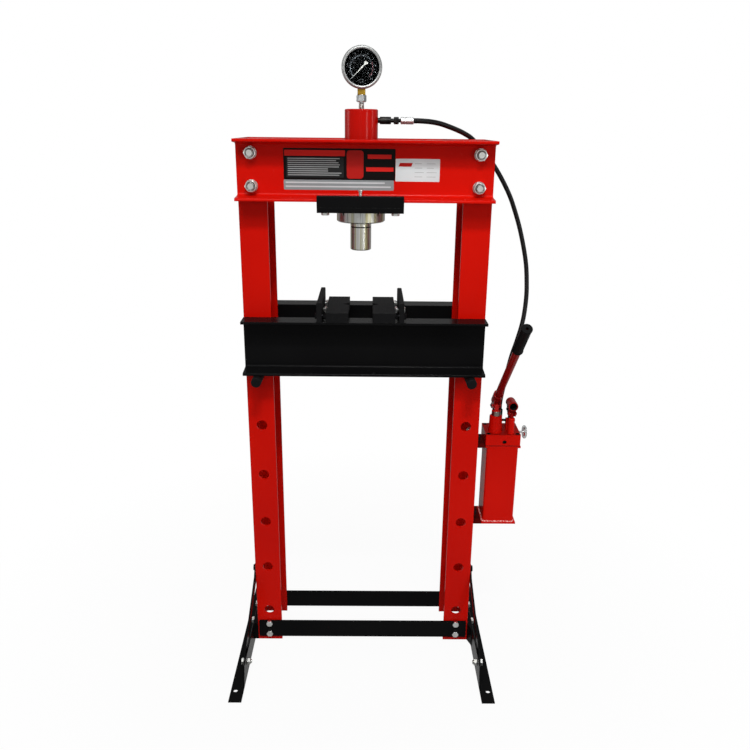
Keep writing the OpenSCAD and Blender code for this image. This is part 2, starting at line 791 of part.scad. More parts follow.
module hose_coupler() {
    color(BLACK) difference() {
        translate([coupler_x, 0, port_z]) along_x(1) {
            translate([0, 0, -1]) rotate_extrude($fn = 48) polygon([[0, 0], [7, 0], [7, 6], [9, 6], [10, 7.5],
                [10, 35.5], [9, 37], [5.5, 37], [5.5, 45], [0, 45]]);
            translate([0, 0, 43.5]) hex(17, 14, true);
            translate([0, 0, 57]) cylinder(r = 5, h = coupler_l - 57, $fn = 48);
        }
        translate([ram_x, 0, port_z]) cylinder(r = cylinder_d / 2 + run, h = 40, center = true, $fn = 96);
    }
}

module hose_end() {
    color(ZINC) translate([coupler_x + coupler_l, 0, port_z]) along_x(1) rotate_extrude($fn = 48)
        polygon([[0, 0], [8.6, 0], [9.6, 1.2], [9.6, 5], [9, 6], [9, 7.5], [9.6, 8.5], [9.6, 12], [9, 13], [9, 14.5],
                 [9.6, 15.5], [9.6, ferrule_l - 1.5], [8.6, ferrule_l], [0, ferrule_l]]);
}

module pump_outlet() {
    color(ZINC) translate([outlet_x, outlet_y, head_top]) {
        hex(19, 16);
        translate([0, 0, 16]) rotate_extrude($fn = 48) polygon([[0, 0], [7, 0], [7, 3], [9, 4], [10, 6],
            [10, outlet_h - 18], [8.5, outlet_h - 16], [0, outlet_h - 16]]);
    }
}

function catmull(a, b, c, d, t) =
    0.5 * (2 * b + (c - a) * t + (2 * a - 5 * b + 4 * c - d) * t * t + (3 * b - a - 3 * c + d) * t * t * t);

function curve(p, cuts) =
    let (k = len(p))
    concat([for (i = [0:k - 2], j = [0:cuts - 1])
        catmull(p[max(i - 1, 0)], p[i], p[i + 1], p[min(i + 2, k - 1)], j / cuts)], [p[k - 1]]);

// rings square to the path, with no ring turned against the one before
function rings(path, r, sides) =
    let (k = len(path))
    [for (i = [0:k - 1])
        let (t = unit(path[min(i + 1, k - 1)] - path[max(i - 1, 0)]), u = unit(cross(t, [0, 1, 0])), v = cross(u, t))
        [for (j = [0:sides - 1]) path[i] + r * (cos(360 * j / sides) * u - sin(360 * j / sides) * v)]];

module hose() {
    color(BLACK) sweep(rings(curve(hose_route, 2), hose_d / 2, 10));
}

// ---------- pump ----------

// a shelf plate with one edge bent up against the column
module shelf(low, reach, depth, up) {
    outline = rounded([[0, 0], [reach, 0], [reach, shelf_t], [shelf_t, shelf_t], [shelf_t, up], [0, up]],
                      [shelf_t, 0, 0, 2, 0, 0]);
    translate([frame_w / 2, pump_y, low]) rotate([90, 0, 0]) linear_extrude(depth, center = true) polygon(outline);
}

module upper_bracket() {
    reach = head_gap + head_w + 2;
    color(RED) difference() {
        shelf(shelf_top - shelf_t, reach, head_d, shelf_t + head_h + gasket_t);
        bracket_bolt_places() through_x(m12_hole, 4 * shelf_t);
    }
}

module lower_bracket() {
    reach = head_gap + head_w + 2;
    color(RED) difference() {
        shelf(tank_low - shelf_t, reach, head_d + 10, 48);
        bracket_bolt_places() through_x(m12_hole, 4 * shelf_t);
    }
}

module oil_tank() {
    color(RED) translate([head_x, pump_y, tank_low]) linear_extrude(tank_h) difference() {
        rounded_rect(tank_w, tank_w, 6);
        rounded_rect(tank_w - 2 * tank_wall, tank_w - 2 * tank_wall, 6 - tank_wall / 2);
    }
}

module head_gasket() {
    color(BLACK) translate([head_x, pump_y, shelf_top]) linear_extrude(gasket_t)
        rounded_rect(head_w - 3, head_d - 3, 2);
}

// two ears that stand on the head and carry the lower pin of a link
module lug(x, foot) {
    ear_t = 6.5;
    for (m = [-1, 1]) difference() {
        translate([x + m * (tongue_t / 2 + cheek_gap + ear_t / 2), 0, 0]) rotate([90, 0, 90])
            linear_extrude(ear_t, center = true) {
                translate(foot) circle(r = 8, $fn = 48);
                translate([foot[0] - 8, head_top - 1]) square([16, foot[1] - head_top + 1]);
            }
        translate([x, foot[0], foot[1]]) through_x(pump_pin_d + 2 * run, 60);
    }
}

module head_screw_places() {
    for (x = [-1, 1], y = [-1, 1])
        translate([head_x + x * (head_w / 2 - 9), pump_y + y * (head_d / 2 - 9), head_top]) children();
}

module pump_head() {
    color(RED) difference() {
        union() {
            translate([head_x, pump_y, head_low]) linear_extrude(head_h) rounded_rect(head_w, head_d, 2);
            lug(large_x, large_foot);
            lug(small_x, small_foot);
        }
        head_screw_places() translate([0, 0, -7]) cylinder(d = 13.5, h = 8, $fn = 48);
        translate([relief_x, pump_y - head_d / 2, relief_z]) through_y(relief_d, 24);
        translate([head_x + head_w / 2, release_y, release_z]) through_x(14 + 2 * run, 60);
        translate([outlet_x, outlet_y, head_top - 14]) cylinder(d = 8, h = 16, $fn = 32);
    }
}

module head_screws() {
    color(DARK_STEEL) head_screw_places() translate([0, 0, -7]) difference() {
        rod(13, 8, 0.6);
        translate([0, 0, 3]) cylinder(r = 5.8, h = 6, $fn = 6);
    }
}

module pump_barrel(x, y, d_low, d_top, bore, top) {
    translate([x, y, 0]) rotate_extrude($fn = 64)
        polygon([[0, head_top], [d_low / 2, head_top], [d_top / 2, top - 2], [d_top / 2 - 2, top], [bore / 2 + run, top],
                 [bore / 2 + run, head_top + 8], [0, head_top + 8]]);
}

module pump_cylinders() {
    color(RED) {
        pump_barrel(large_x, large_y, large_d + 4, large_d - 1, large_plunger_d, large_top);
        pump_barrel(small_x, small_y, small_d, small_d - 1, small_plunger_d, small_top);
    }
}

// the socket screw sunk in the head's front face, over the relief valve
module relief_screw() {
    color(DARK_STEEL) translate([relief_x, pump_y - head_d / 2 + 12, relief_z]) along_y(-1) difference() {
        rod(relief_d - 2 * run, 8, 0.6);
        translate([0, 0, 4]) cylinder(r = 4, h = 6, $fn = 6);
    }
}

// a plunger whose flattened top carries its cross pin
module plunger(x, y, d, low, shoulder, pin_z) {
    pin_l = tongue_t + 2 * (cheek_t + cheek_gap) + 6;
    tongue_r = 6.5;
    translate([x, y, 0]) {
        translate([0, 0, low]) rod(d, shoulder - low);
        intersection() {
            translate([0, 0, shoulder - 1]) cylinder(d = d, h = pin_z - shoulder + 1 + tongue_r, $fn = 48);
            rotate([90, 0, 90]) linear_extrude(tongue_t, center = true) {
                translate([0, pin_z]) circle(r = min(tongue_r, d / 2), $fn = 48);
                translate([-min(tongue_r, d / 2), shoulder - 1]) square([2 * min(tongue_r, d / 2), pin_z - shoulder + 1]);
            }
        }
        translate([-pin_l / 2, 0, pin_z]) along_x(1) rod(pump_pin_d, pin_l);
    }
}

module large_plunger() {
    color(STEEL) plunger(large_x, large_y, large_plunger_d, head_top + 30, large_pin_z - 16, large_pin_z);
}

module small_plunger() {
    color(STEEL) plunger(small_x, small_y, small_plunger_d, head_top + 12, small_pin_z - 7, small_pin_z);
}

// socket for the handle: a tube on two cheeks, pinned at the rear and slotted over the plunger's pin.
// Its own axes have the rear pivot at the origin, the lever along +X and the tube turned by `tilt` from it.
module handle_socket(lever, tilt, offset, rim) {
    pin_r = pump_pin_d / 2;
    far = rim - socket_l;
    slot = 2.4;
    dir = [cos(tilt), sin(tilt)];
    side = [-sin(tilt), cos(tilt)];
    outer = tongue_t / 2 + cheek_gap;
    module profile() {
        tapered_bar([0, 0], 9, [lever, 0], 9);
        polygon([[0, -4], [lever, -8], far * dir + (rim - far - 16) * dir + (offset - socket_d / 2 + 3) * side,
                 far * dir + (offset - socket_d / 2 + 3) * side]);
    }
    difference() {
        union() {
            for (m = [0, 1]) mirror([0, 0, m]) translate([0, 0, outer]) linear_extrude(cheek_t) profile();
            translate(concat(far * dir + offset * side, [0])) rotate([0, 0, tilt]) along_x(1)
                tube(socket_d, socket_bore, socket_l, 1);
        }
        cylinder(r = pin_r + run, h = 60, center = true, $fn = 48);
        linear_extrude(60, center = true) {
            for (e = [-slot / 2 - 1, slot / 2]) translate([lever + e, 0]) circle(r = pin_r + 0.3, $fn = 48);
            translate([lever - slot / 2 - 1, -pin_r - 0.3]) square([slot + 1, 2 * pin_r + 0.6]);
        }
        linear_extrude(2 * outer, center = true) {
            circle(r = 6.9, $fn = 48);
            for (e = [-slot, 0, slot]) translate([lever + e, 0]) circle(r = 7, $fn = 48);
        }
        translate(concat(far * dir + offset * side, [0])) rotate([0, 0, tilt]) along_x(1)
            translate([0, 0, -1]) cylinder(d = socket_bore, h = socket_l + 2, $fn = 64);
    }
}

// put a socket's own axes at its pivot, with the lever towards the front and `rise` above level
module at_pivot(x, pivot, rise) {
    translate([x, pivot[0], pivot[1]]) rotate([-rise, 0, 0]) rotate([90, 0, -90]) children();
}

module large_socket() {
    color(DEEP_RED) at_pivot(large_x, large_pivot, lever_rise)
        handle_socket(lever_l, handle_angle - lever_rise, socket_offset, socket_rim);
}

module small_socket() {
    color(DEEP_RED) at_pivot(small_x, small_pivot, -lever_rise)
        handle_socket(small_lever_l, lever_rise + small_angle, small_offset, small_rim);
}

// the handle's own axes: Z along the tube from the socket's rim outwards
module at_handle() {
    at_pivot(large_x, large_pivot, handle_angle)
        translate([socket_rim, socket_offset, 0]) along_x(1) children();
}

module handle() {
    color(DEEP_RED) at_handle() translate([0, 0, -inserted]) tube(handle_d, handle_d - 4, handle_l, 0.6);
}

module handle_grip() {
    end = handle_l - inserted;
    color(BLACK) at_handle() translate([0, 0, end - grip_l]) rotate_extrude($fn = 48) polygon([
        [handle_d / 2 + run, 0], [14, 0], [15, 2], [15, 4], [13.6, 6], [13.6, grip_l - 2], [14.6, grip_l],
        [14.6, grip_l + 3], [13.4, grip_l + 5], [4, grip_l + 5], [4, grip_l + run], [handle_d / 2 + run, grip_l + run]]);
}

// the link between a lug and a socket's rear pivot, with its two pins
module pump_link(x, foot, pivot, low_pin, shift) {
    pin_l = tongue_t + 2 * (cheek_t + cheek_gap) + 6;
    translate([x, 0, 0]) rotate([90, 0, 90]) linear_extrude(tongue_t, center = true)
        tapered_bar(foot, 8, pivot, 6.3);
    translate([x - pin_l / 2, pivot[0], pivot[1]]) along_x(1) rod(pump_pin_d, pin_l);
    translate([x + shift - low_pin / 2, foot[0], foot[1]]) along_x(1) rod(pump_pin_d, low_pin);
}

module pump_links() {
    color(DARK_STEEL) {
        pump_link(large_x, large_foot, large_pivot, 30, 1);
        pump_link(small_x, small_foot, small_pivot, 40, -4);
    }
}

module release_screw() {
    color(ZINC) translate([head_x + head_w / 2 - 28, release_y, release_z]) along_x(1) {
        rod(14, 30);
        translate([0, 0, 29]) rod(7, 20, 0.3);
        translate([0, 0, 45]) difference() {
            rod(42, 10, 3);
            for (a = [0:60:300]) rotate([0, 0, a]) translate([25, 0, -1]) cylinder(r = 7.5, h = 12, $fn = 32);
        }
    }
}

column(-1);  // left_column
column(1);  // right_column
top_beam(-1);  // front_top_beam
top_beam(1);  // rear_top_beam
beam_bolts();
beam_nuts();
crossbar(-1);  // front_crossbar
crossbar(1);  // rear_crossbar
foot(-1);  // left_foot
foot(1);  // right_foot
braces(-1);  // left_braces
braces(1);  // right_braces
frame_bolts();
frame_nuts();
bed_channel(-1);  // front_bed_channel
bed_channel(1);  // rear_bed_channel
bed_spacers();
bed_pin(-1);  // left_bed_pin
bed_pin(1);  // right_bed_pin
v_block(-1);  // left_v_block
v_block(1);  // right_v_block
side_plate(-1);  // left_side_plate
side_plate(1);  // right_side_plate
block_bolts(-1);  // left_block_bolts
block_bolts(1);  // right_block_bolts
carriage_plate();
carriage_hooks();
carriage_bolts();
lock_screw();
cylinder_body();  // cylinder
ring_nut();
gland();
ram();
return_spring();
gauge_fitting();
gauge_stem();
gauge_case();
gauge_dial();
gauge_needle();
gauge_glass();
hose_coupler();
hose_end();
hose();
pump_outlet();
upper_bracket();
lower_bracket();
oil_tank();
head_gasket();
pump_head();
head_screws();
relief_screw();
pump_cylinders();
pump_links();
large_plunger();
large_socket();
handle();
handle_grip();
small_plunger();
small_socket();
release_screw();
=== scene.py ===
import bmesh
import bpy
import math
from mathutils import Matrix, Vector


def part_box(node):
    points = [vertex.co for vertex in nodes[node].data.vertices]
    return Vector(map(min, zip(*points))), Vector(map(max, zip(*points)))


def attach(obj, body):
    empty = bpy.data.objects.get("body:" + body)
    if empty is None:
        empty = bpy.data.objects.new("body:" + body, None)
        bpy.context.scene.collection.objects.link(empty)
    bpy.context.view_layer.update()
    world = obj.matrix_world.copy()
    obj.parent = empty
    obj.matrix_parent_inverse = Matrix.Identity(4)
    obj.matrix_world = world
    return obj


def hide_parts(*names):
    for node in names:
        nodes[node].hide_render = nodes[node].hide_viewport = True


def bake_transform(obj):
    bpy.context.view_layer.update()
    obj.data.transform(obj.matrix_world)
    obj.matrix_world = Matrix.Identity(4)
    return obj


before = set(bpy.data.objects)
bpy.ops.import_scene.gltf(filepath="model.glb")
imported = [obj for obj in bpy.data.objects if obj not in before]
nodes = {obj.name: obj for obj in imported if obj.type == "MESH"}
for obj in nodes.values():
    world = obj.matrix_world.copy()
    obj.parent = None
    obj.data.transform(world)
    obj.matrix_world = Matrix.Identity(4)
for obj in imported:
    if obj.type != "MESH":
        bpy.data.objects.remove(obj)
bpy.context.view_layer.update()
scene = bpy.context.scene
print("frame loaded:", len(nodes), "nodes")

lens = {"place": (0.01229, -2.17368, 1.65185), "focal": 35.71, "sensor": 36.0, "near": 0.05, "far": 60,
        "right": (0.99992863, -0.00579761, 0.01044627), "up": (-0.00805148, 0.31897947, 0.94772743)}


def makeCamera():
    right, up = Vector(lens["right"]).normalized(), Vector(lens["up"]).normalized()
    back = right.cross(up)
    data = bpy.data.cameras.new("camera")
    data.lens, data.sensor_width = lens["focal"], lens["sensor"]
    data.clip_start, data.clip_end = lens["near"], lens["far"]
    camera = bpy.data.objects.new("camera", data)
    camera.matrix_world = Matrix.Translation(lens["place"]) @ Matrix((right, up, back)).transposed().to_4x4()
    scene.collection.objects.link(camera)
    scene.camera = camera
    print("camera placed")


makeCamera()


# the writing of node trees, for shaders and for geometry
class Flow:  # one output socket, with arithmetic
    def __init__(self, recipe, socket):
        self.recipe, self.socket = recipe, socket

    def math(self, operation, *values):
        return self.recipe.add("ShaderNodeMath", {"operation": operation}, dict(enumerate(values)))

    def __add__(self, other): return self.math("ADD", self, other)
    def __radd__(self, other): return self.math("ADD", other, self)
    def __sub__(self, other): return self.math("SUBTRACT", self, other)
    def __rsub__(self, other): return self.math("SUBTRACT", other, self)
    def __mul__(self, other): return self.math("MULTIPLY", self, other)
    def __rmul__(self, other): return self.math("MULTIPLY", other, self)
    def __truediv__(self, other): return self.math("DIVIDE", self, other)
    def __rtruediv__(self, other): return self.math("DIVIDE", other, self)
    def __mod__(self, other): return self.math("MODULO", self, other)
    def __gt__(self, other): return self.math("GREATER_THAN", self, other)
    def __lt__(self, other): return self.math("LESS_THAN", self, other)
    def __abs__(self): return self.math("ABSOLUTE", self)
    def cosine(self): return self.math("COSINE", self)
    def sine(self): return self.math("SINE", self)
    def root(self): return self.math("SQRT", self)
    def largest(self, other): return self.math("MAXIMUM", self, other)


class Recipe:  # a node tree being written
    def __init__(self, tree):
        self.tree = tree
        tree.nodes.clear()

    def add(self, kind, settings=None, sockets=None, take=0):
        node = self.tree.nodes.new(kind)
        for key, value in (settings or {}).items():
            setattr(node, key, value)
        for key, value in (sockets or {}).items():
            for each in value if isinstance(value, list) else [value]:
                if isinstance(each, Flow):
                    self.tree.links.new(each.socket, node.inputs[key])
                else:
                    node.inputs[key].default_value = each
        return Flow(self, node.outputs[take]) if node.outputs else None

    def apart(self, vector):
        node = self.tree.nodes.new("ShaderNodeSeparateXYZ")
        self.tree.links.new(vector.socket, node.inputs[0])
        return [Flow(self, each) for each in node.outputs]

    def together(self, x, y, z):
        return self.add("ShaderNodeCombineXYZ", {}, {0: x, 1: y, 2: z})

    def span(self, value, low, high, start=0.0, end=1.0, curve="LINEAR"):  # a range of values onto another
        return self.add("ShaderNodeMapRange", {"clamp": True, "interpolation_type": curve},
                        {0: value, 1: low, 2: high, 3: start, 4: end})

    def rays(self):  # 1 where the camera or glass is looking, and 1 where a gloss is
        camera, glossy, through = (self.add("ShaderNodeLightPath", take="Is " + ray + " Ray")
                                   for ray in ("Camera", "Glossy", "Transmission"))
        return camera.largest(through), glossy


class Finish(Recipe):  # a surface, from Object coordinates
    def __init__(self, name):
        self.material = bpy.data.materials.new(name)
        self.material.use_nodes = True
        super().__init__(self.material.node_tree)
        self.place = self.add("ShaderNodeTexCoord", take="Object")
        self.x, self.y, self.z = self.apart(self.place)

    def noise(self, scale, detail=2.0, roughness=0.5, stretch=None):
        place = self.place
        if stretch:
            place = self.add("ShaderNodeMapping", {}, {"Vector": place, "Scale": stretch})
        return self.add("ShaderNodeTexNoise", {},
                        {"Vector": place, "Scale": scale, "Detail": detail, "Roughness": roughness})

    def patches(self, low, high, scale, detail=2.0, roughness=0.5, stretch=None):  # noise between two levels
        return self.span(self.noise(scale, detail, roughness, stretch), low, high)

    def mix(self, share, first, second):  # sockets 6 and 7 and output 2 are the node's colours
        return self.add("ShaderNodeMix", {"data_type": "RGBA"},
                        {0: share, 6: solid(first), 7: solid(second)}, take=2)

    def bump(self, height, distance, strength=1.0, normal=None):
        sockets = {"Height": height, "Distance": distance, "Strength": strength}
        if normal:
            sockets["Normal"] = normal
        return self.add("ShaderNodeBump", {}, sockets)

    def softEdge(self, radius):
        return self.add("ShaderNodeBevel", {"samples": 6}, {"Radius": radius})

    def worn(self, edge, low, high):  # 1 along edges, from how far the softened normal has turned
        plain = self.add("ShaderNodeNewGeometry", take="Normal")
        same = self.add("ShaderNodeVectorMath", {"operation": "DOT_PRODUCT"}, {0: edge, 1: plain}, take="Value")
        return self.span(1.0 - same, low, high)

    def inBox(self, x=None, y=None, z=None):  # 1 inside the ranges, with x and y as distances from the middle
        inside = None
        for value, limits in ((abs(self.x), x), (abs(self.y), y), (self.z, z)):
            if limits:
                part = (value > limits[0]) * (value < limits[1])
                inside = part if inside is None else inside * part
        return inside

    def crevice(self, reach):  # 1 deep in corners, where painted shade goes
        clear = self.add("ShaderNodeAmbientOcclusion", {"samples": 6}, {"Distance": reach}, take="AO")
        return self.span(1.0 - clear, 0.25, 0.8)

    def fromAxis(self, point, direction):  # distance from a line
        arm = self.add("ShaderNodeVectorMath", {"operation": "SUBTRACT"}, {0: self.place, 1: point})
        across = self.add("ShaderNodeVectorMath", {"operation": "CROSS_PRODUCT"}, {0: arm, 1: direction})
        return self.add("ShaderNodeVectorMath", {"operation": "LENGTH"}, {0: across}, take="Value")

    def shade(self, **sockets):
        named = {spaced(key): solid(value) for key, value in sockets.items()}
        shader = self.add("ShaderNodeBsdfPrincipled", {}, named)
        self.add("ShaderNodeOutputMaterial", {}, {"Surface": shader})
        return self.material


def spaced(key):  # baseColor to Base Color
    words = "".join(" " + c if c.isupper() else c for c in key).title()
    return {"Ior": "IOR", "Specular Ior Level": "Specular IOR Level"}.get(words, words)


def solid(value):
    return (*value, 1.0) if isinstance(value, tuple) and len(value) == 3 else value


def scaled(colour, share, lift=0.0):
    return tuple(c * share + lift for c in colour)


# finishes: colours are linear, lengths are in metres
paints = {
    "redEnamel": {
        "colour": (0.585, 0.0052, 0.0012), "thin": (0.50, 0.0034, 0.0009), "bare": (0.17, 0.004, 0.003),
        "peel": 300, "depth": 0.00010, "rough": 0.22, "gloss": 0.07},
    "darkRedEnamel": {
        "colour": (0.30, 0.0030, 0.0025), "thin": (0.20, 0.0022, 0.0020), "bare": (0.10, 0.003, 0.003),
        "peel": 300, "depth": 0.00010, "rough": 0.24, "gloss": 0.08},
    "seamEnamel": {
        "colour": (0.56, 0.006, 0.003), "thin": (0.46, 0.004, 0.002), "bare": (0.17, 0.004, 0.003),
        "peel": 700, "depth": 0.00012, "rough": 0.16, "gloss": 0.8, "paintedGlint": (0.90, 0.55, 0.52)},
    # the cylinder's enamel: a darker copy of the red enamel, painted shade
    "cylinderEnamel": {
        "colour": (0.455, 0.0040, 0.0010), "thin": (0.38, 0.0026, 0.0008), "bare": (0.17, 0.004, 0.003),
        "peel": 300, "depth": 0.00010, "rough": 0.20, "gloss": 0.10},
    "blackEnamel": {
        "colour": (0.0028, 0.0028, 0.0031), "thin": (0.0048, 0.0048, 0.005), "bare": (0.022, 0.021, 0.020),
        "peel": 210, "depth": 0.00022, "rough": 0.24, "gloss": 0.04},
}
metals = {
    "zincPlate": {"colour": (0.74, 0.75, 0.74), "stain": (0.52, 0.52, 0.47), "rough": 0.27, "grain": 500},
    "ferruleZinc": {"colour": (0.80, 0.81, 0.81), "stain": (0.70, 0.71, 0.71), "rough": 0.36, "grain": 300},
    "stainless": {"colour": (0.37, 0.38, 0.375), "stain": (0.29, 0.295, 0.29), "rough": 0.46, "grain": 900},
    "nippleZinc": {"colour": (0.44, 0.46, 0.47), "stain": (0.34, 0.35, 0.35), "rough": 0.26, "grain": 500},
    "brass": {"colour": (0.46, 0.28, 0.035), "stain": (0.24, 0.14, 0.02), "rough": 0.25, "grain": 700},
    "chromePlate": {"colour": (0.76, 0.76, 0.76), "stain": (0.68, 0.68, 0.68), "rough": 0.09, "grain": 400},
    "blackOxide": {"colour": (0.012, 0.012, 0.013), "stain": (0.03, 0.029, 0.026), "rough": 0.36, "grain": 900},
}
turned = {"colour": (0.30, 0.27, 0.235), "stain": (0.17, 0.13, 0.10), "rough": 0.24, "lines": 1400}
# drawn and brushed steel: the yellow, pale and dark streak colours are painted reflections
drawn = {"colour": (0.62, 0.62, 0.58), "paintedYellowSheen": (0.50, 0.46, 0.25), "pale": (0.82, 0.83, 0.82),
         "paintedDarkStreak": (0.10, 0.10, 0.09), "groove": (0.006, 0.006, 0.006), "rough": 0.31}
brushed = {"colour": (0.56, 0.57, 0.55), "paintedYellowSheen": (0.42, 0.39, 0.22), "pale": (0.78, 0.79, 0.78),
           "paintedDarkStreak": (0.10, 0.10, 0.09), "rust": (0.23, 0.16, 0.09), "rough": 0.24}
milled = {"colour": (0.0050, 0.0050, 0.0054), "bare": (0.017, 0.017, 0.018), "rubbed": (0.07, 0.07, 0.07),
          "rough": 0.52, "lines": 520}
# dirt colours, with painted shade for corners, the thread round bolt ends, the small socket's bore, the bracket gap
# and the bracket bolts
dirtAndShade = {"boreShade": (0.007, 0.005, 0.006), "darkPatch": (0.010, 0.0006, 0.0004), "corners": (0.02, 0.018, 0.016),
        "oversprayAndShade": (0.012, 0.012, 0.013), "threadShade": (0.02, 0.019, 0.018), "dust": (0.014, 0.014, 0.014)}
edges = {"wide": 0.0012, "milled": 0.0010, "fine": 0.0006}  # how far each kind of edge is softened
wearAndPaintedLight = {"chips": 0.75, "paintedGlints": 0.85, "grime": 0.35, "darkest": 0.45, "corners": 0.85, "shadeReach": 0.006,
        "bore": 0.7, "darkPatch": 0.6, "dust": 0.3}  # how strongly each kind of wear, painted shade and painted highlight shows
smallSocket = {"point": (0.456, -0.01868, 0.838), "direction": (0, -0.9994, 0.0349), "bore": 0.01135,
               "stopRadius": 0.01112, "stopThick": 0.0015}


def enamelLayers(f, p):  # colour, roughness and normal of a sprayed enamel
    edge = f.softEdge(edges["wide"])
    broad = f.patches(0.3, 0.72, 3.1, 3.0)
    peel = f.noise(p["peel"], 1.5, 0.4)
    waves = f.noise(p["peel"] * 0.2, 1.0)
    dust = f.patches(0.66, 0.74, 1500, 2.0) * f.patches(0.45, 0.7, 17)
    rub = f.patches(0.62, 0.8, 42, 4.0, 0.6)
    chips = f.worn(edge, 0.05, 0.25) * f.patches(0.50, 0.62, 70, 5.0, 0.65)
    tone = f.mix(broad, p["colour"], p["thin"])
    tone = f.mix(chips * wearAndPaintedLight["chips"], tone, p["bare"])
    if "paintedGlint" in p:  # painted highlights: pale specks along the weld bead
        tone = f.mix(f.patches(0.50, 0.58, 260, 2.0) * wearAndPaintedLight["paintedGlints"], tone, p["paintedGlint"])
    normal = f.bump(peel + waves * 1.7 - chips * 0.5, p["depth"], 1.0, edge)
    return tone, rub * 0.12 + dust * 0.2 + chips * 0.2 + p["rough"], normal


def enamel(name, paint=None, bore=None, darkBox=None, darkShare=1.0):
    f, p = Finish(name), paints[paint or name]
    tone, rough, normal = enamelLayers(f, p)
    if bore:  # painted shade: dark and matte inside the tube
        inside = f.fromAxis(bore["point"], bore["direction"]) < bore["bore"]
        tone, rough = f.mix(inside, tone, dirtAndShade["boreShade"]), rough + inside * wearAndPaintedLight["bore"]
    if darkBox:  # darker and rougher inside a box: painted shade in the gap between column and pump head on the brackets, a darkened top face on the pump head
        darkening = f.inBox(**darkBox) * (f.noise(60, 3.0) * 0.2 + 0.8) * darkShare
        tone, rough = f.mix(darkening, tone, dirtAndShade["darkPatch"]), rough + darkening * wearAndPaintedLight["darkPatch"]
    return f.shade(baseColor=tone, roughness=rough, normal=normal, specularIorLevel=p["gloss"])


def metal(name, plate=None, darkenedBolts=None, boltEnds=None):
    f, p = Finish(name), metals[plate or name]
    edge = f.softEdge(edges["fine"])
    cloud = f.patches(0.35, 0.75, 38, 4.0, 0.6)
    fine = f.noise(p["grain"], 3.0)
    grime = f.patches(0.56, 0.72, 210, 4.0, 0.6)
    tone = f.mix(cloud, p["colour"], p["stain"])
    tone = f.mix(grime * wearAndPaintedLight["grime"], tone, scaled(p["stain"], wearAndPaintedLight["darkest"]))
    # painted shade: darker colour deep in corners
    tone = f.mix(f.crevice(wearAndPaintedLight["shadeReach"]) * wearAndPaintedLight["corners"], tone, dirtAndShade["corners"])
    if darkenedBolts:  # darkened fasteners: the block bolts painted over with the frame, and painted shade on the bracket bolts beside the pump head
        tone = f.mix(f.inBox(**darkenedBolts), tone, dirtAndShade["oversprayAndShade"])
    if boltEnds:  # painted shade in the thread round the end of each big bolt
        dx = abs(f.x) - boltEnds["x"]
        dz = abs(f.z - boltEnds["z"]) - boltEnds["rise"]
        away = dx * dx + dz * dz
        ring = (away > boltEnds["inner"] ** 2) * (away < boltEnds["outer"] ** 2) * (abs(f.y) > boltEnds["y"])
        tone = f.mix(ring, tone, dirtAndShade["threadShade"])
    return f.shade(baseColor=tone, metallic=1.0, normal=f.bump(fine, 0.00001, 0.6, edge),
                   roughness=cloud * 0.1 + fine * 0.06 + grime * 0.12 + p["rough"])


def turnedSteel(name, painted=None):  # fine rings left by the lathe, all about an upright axis
    f = Finish(name)
    edge = f.softEdge(edges["fine"])
    rings = f.noise(turned["lines"], 3.0, 0.6, stretch=(0.02, 0.02, 1.0))
    cloud = f.patches(0.4, 0.75, 16, 3.0, stretch=(1, 1, 0.35))
    streaks = f.patches(0.35, 0.7, 210, 3.0, 0.6, stretch=(1, 1, 0.04))
    tone = f.mix(cloud * 0.5 + streaks * 0.4, turned["colour"], turned["stain"])
    rough = rings * 0.1 + cloud * 0.05 + streaks * 0.08 + turned["rough"]
    normal = f.bump(rings, 0.000012, 0.8, edge)
    if not painted:
        return f.shade(baseColor=tone, metallic=1.0, roughness=rough, normal=normal)
    mask = f.inBox(z=painted)
    red, redRough, redNormal = enamelLayers(f, paints["redEnamel"])
    return f.shade(baseColor=f.mix(mask, tone, red), metallic=1.0 - mask,
                   roughness=rough + mask * (redRough - rough), normal=redNormal, specularIorLevel=0.3)


def streakedSteel(name, groove):  # bright drawn bar, with a dark groove and painted reflections as long upright pale, yellow and dark streaks
    f = Finish(name)
    edge = f.softEdge(edges["fine"])
    sheenBands = f.patches(0.42, 0.58, 85, 2.0, 0.5, stretch=(1, 1, 0.015))
    streaks = f.patches(0.57, 0.66, 300, 2.0, stretch=(1, 1, 0.01))
    pale = f.patches(0.52, 0.62, 140, 1.0, stretch=(1, 1, 0.012))
    tone = f.mix(sheenBands, drawn["colour"], drawn["paintedYellowSheen"])
    tone = f.mix(pale * 0.7, tone, drawn["pale"])
    tone = f.mix(streaks * 0.75, tone, drawn["paintedDarkStreak"])
    tone = f.mix(f.inBox(z=groove), tone, drawn["groove"])
    rings = f.noise(turned["lines"], 3.0, 0.6, stretch=(0.02, 0.02, 1.0))
    return f.shade(baseColor=tone, metallic=1.0, roughness=rings * 0.08 + sheenBands * 0.06 + drawn["rough"],
                   normal=f.bump(rings, 0.000008, 0.6, edge))


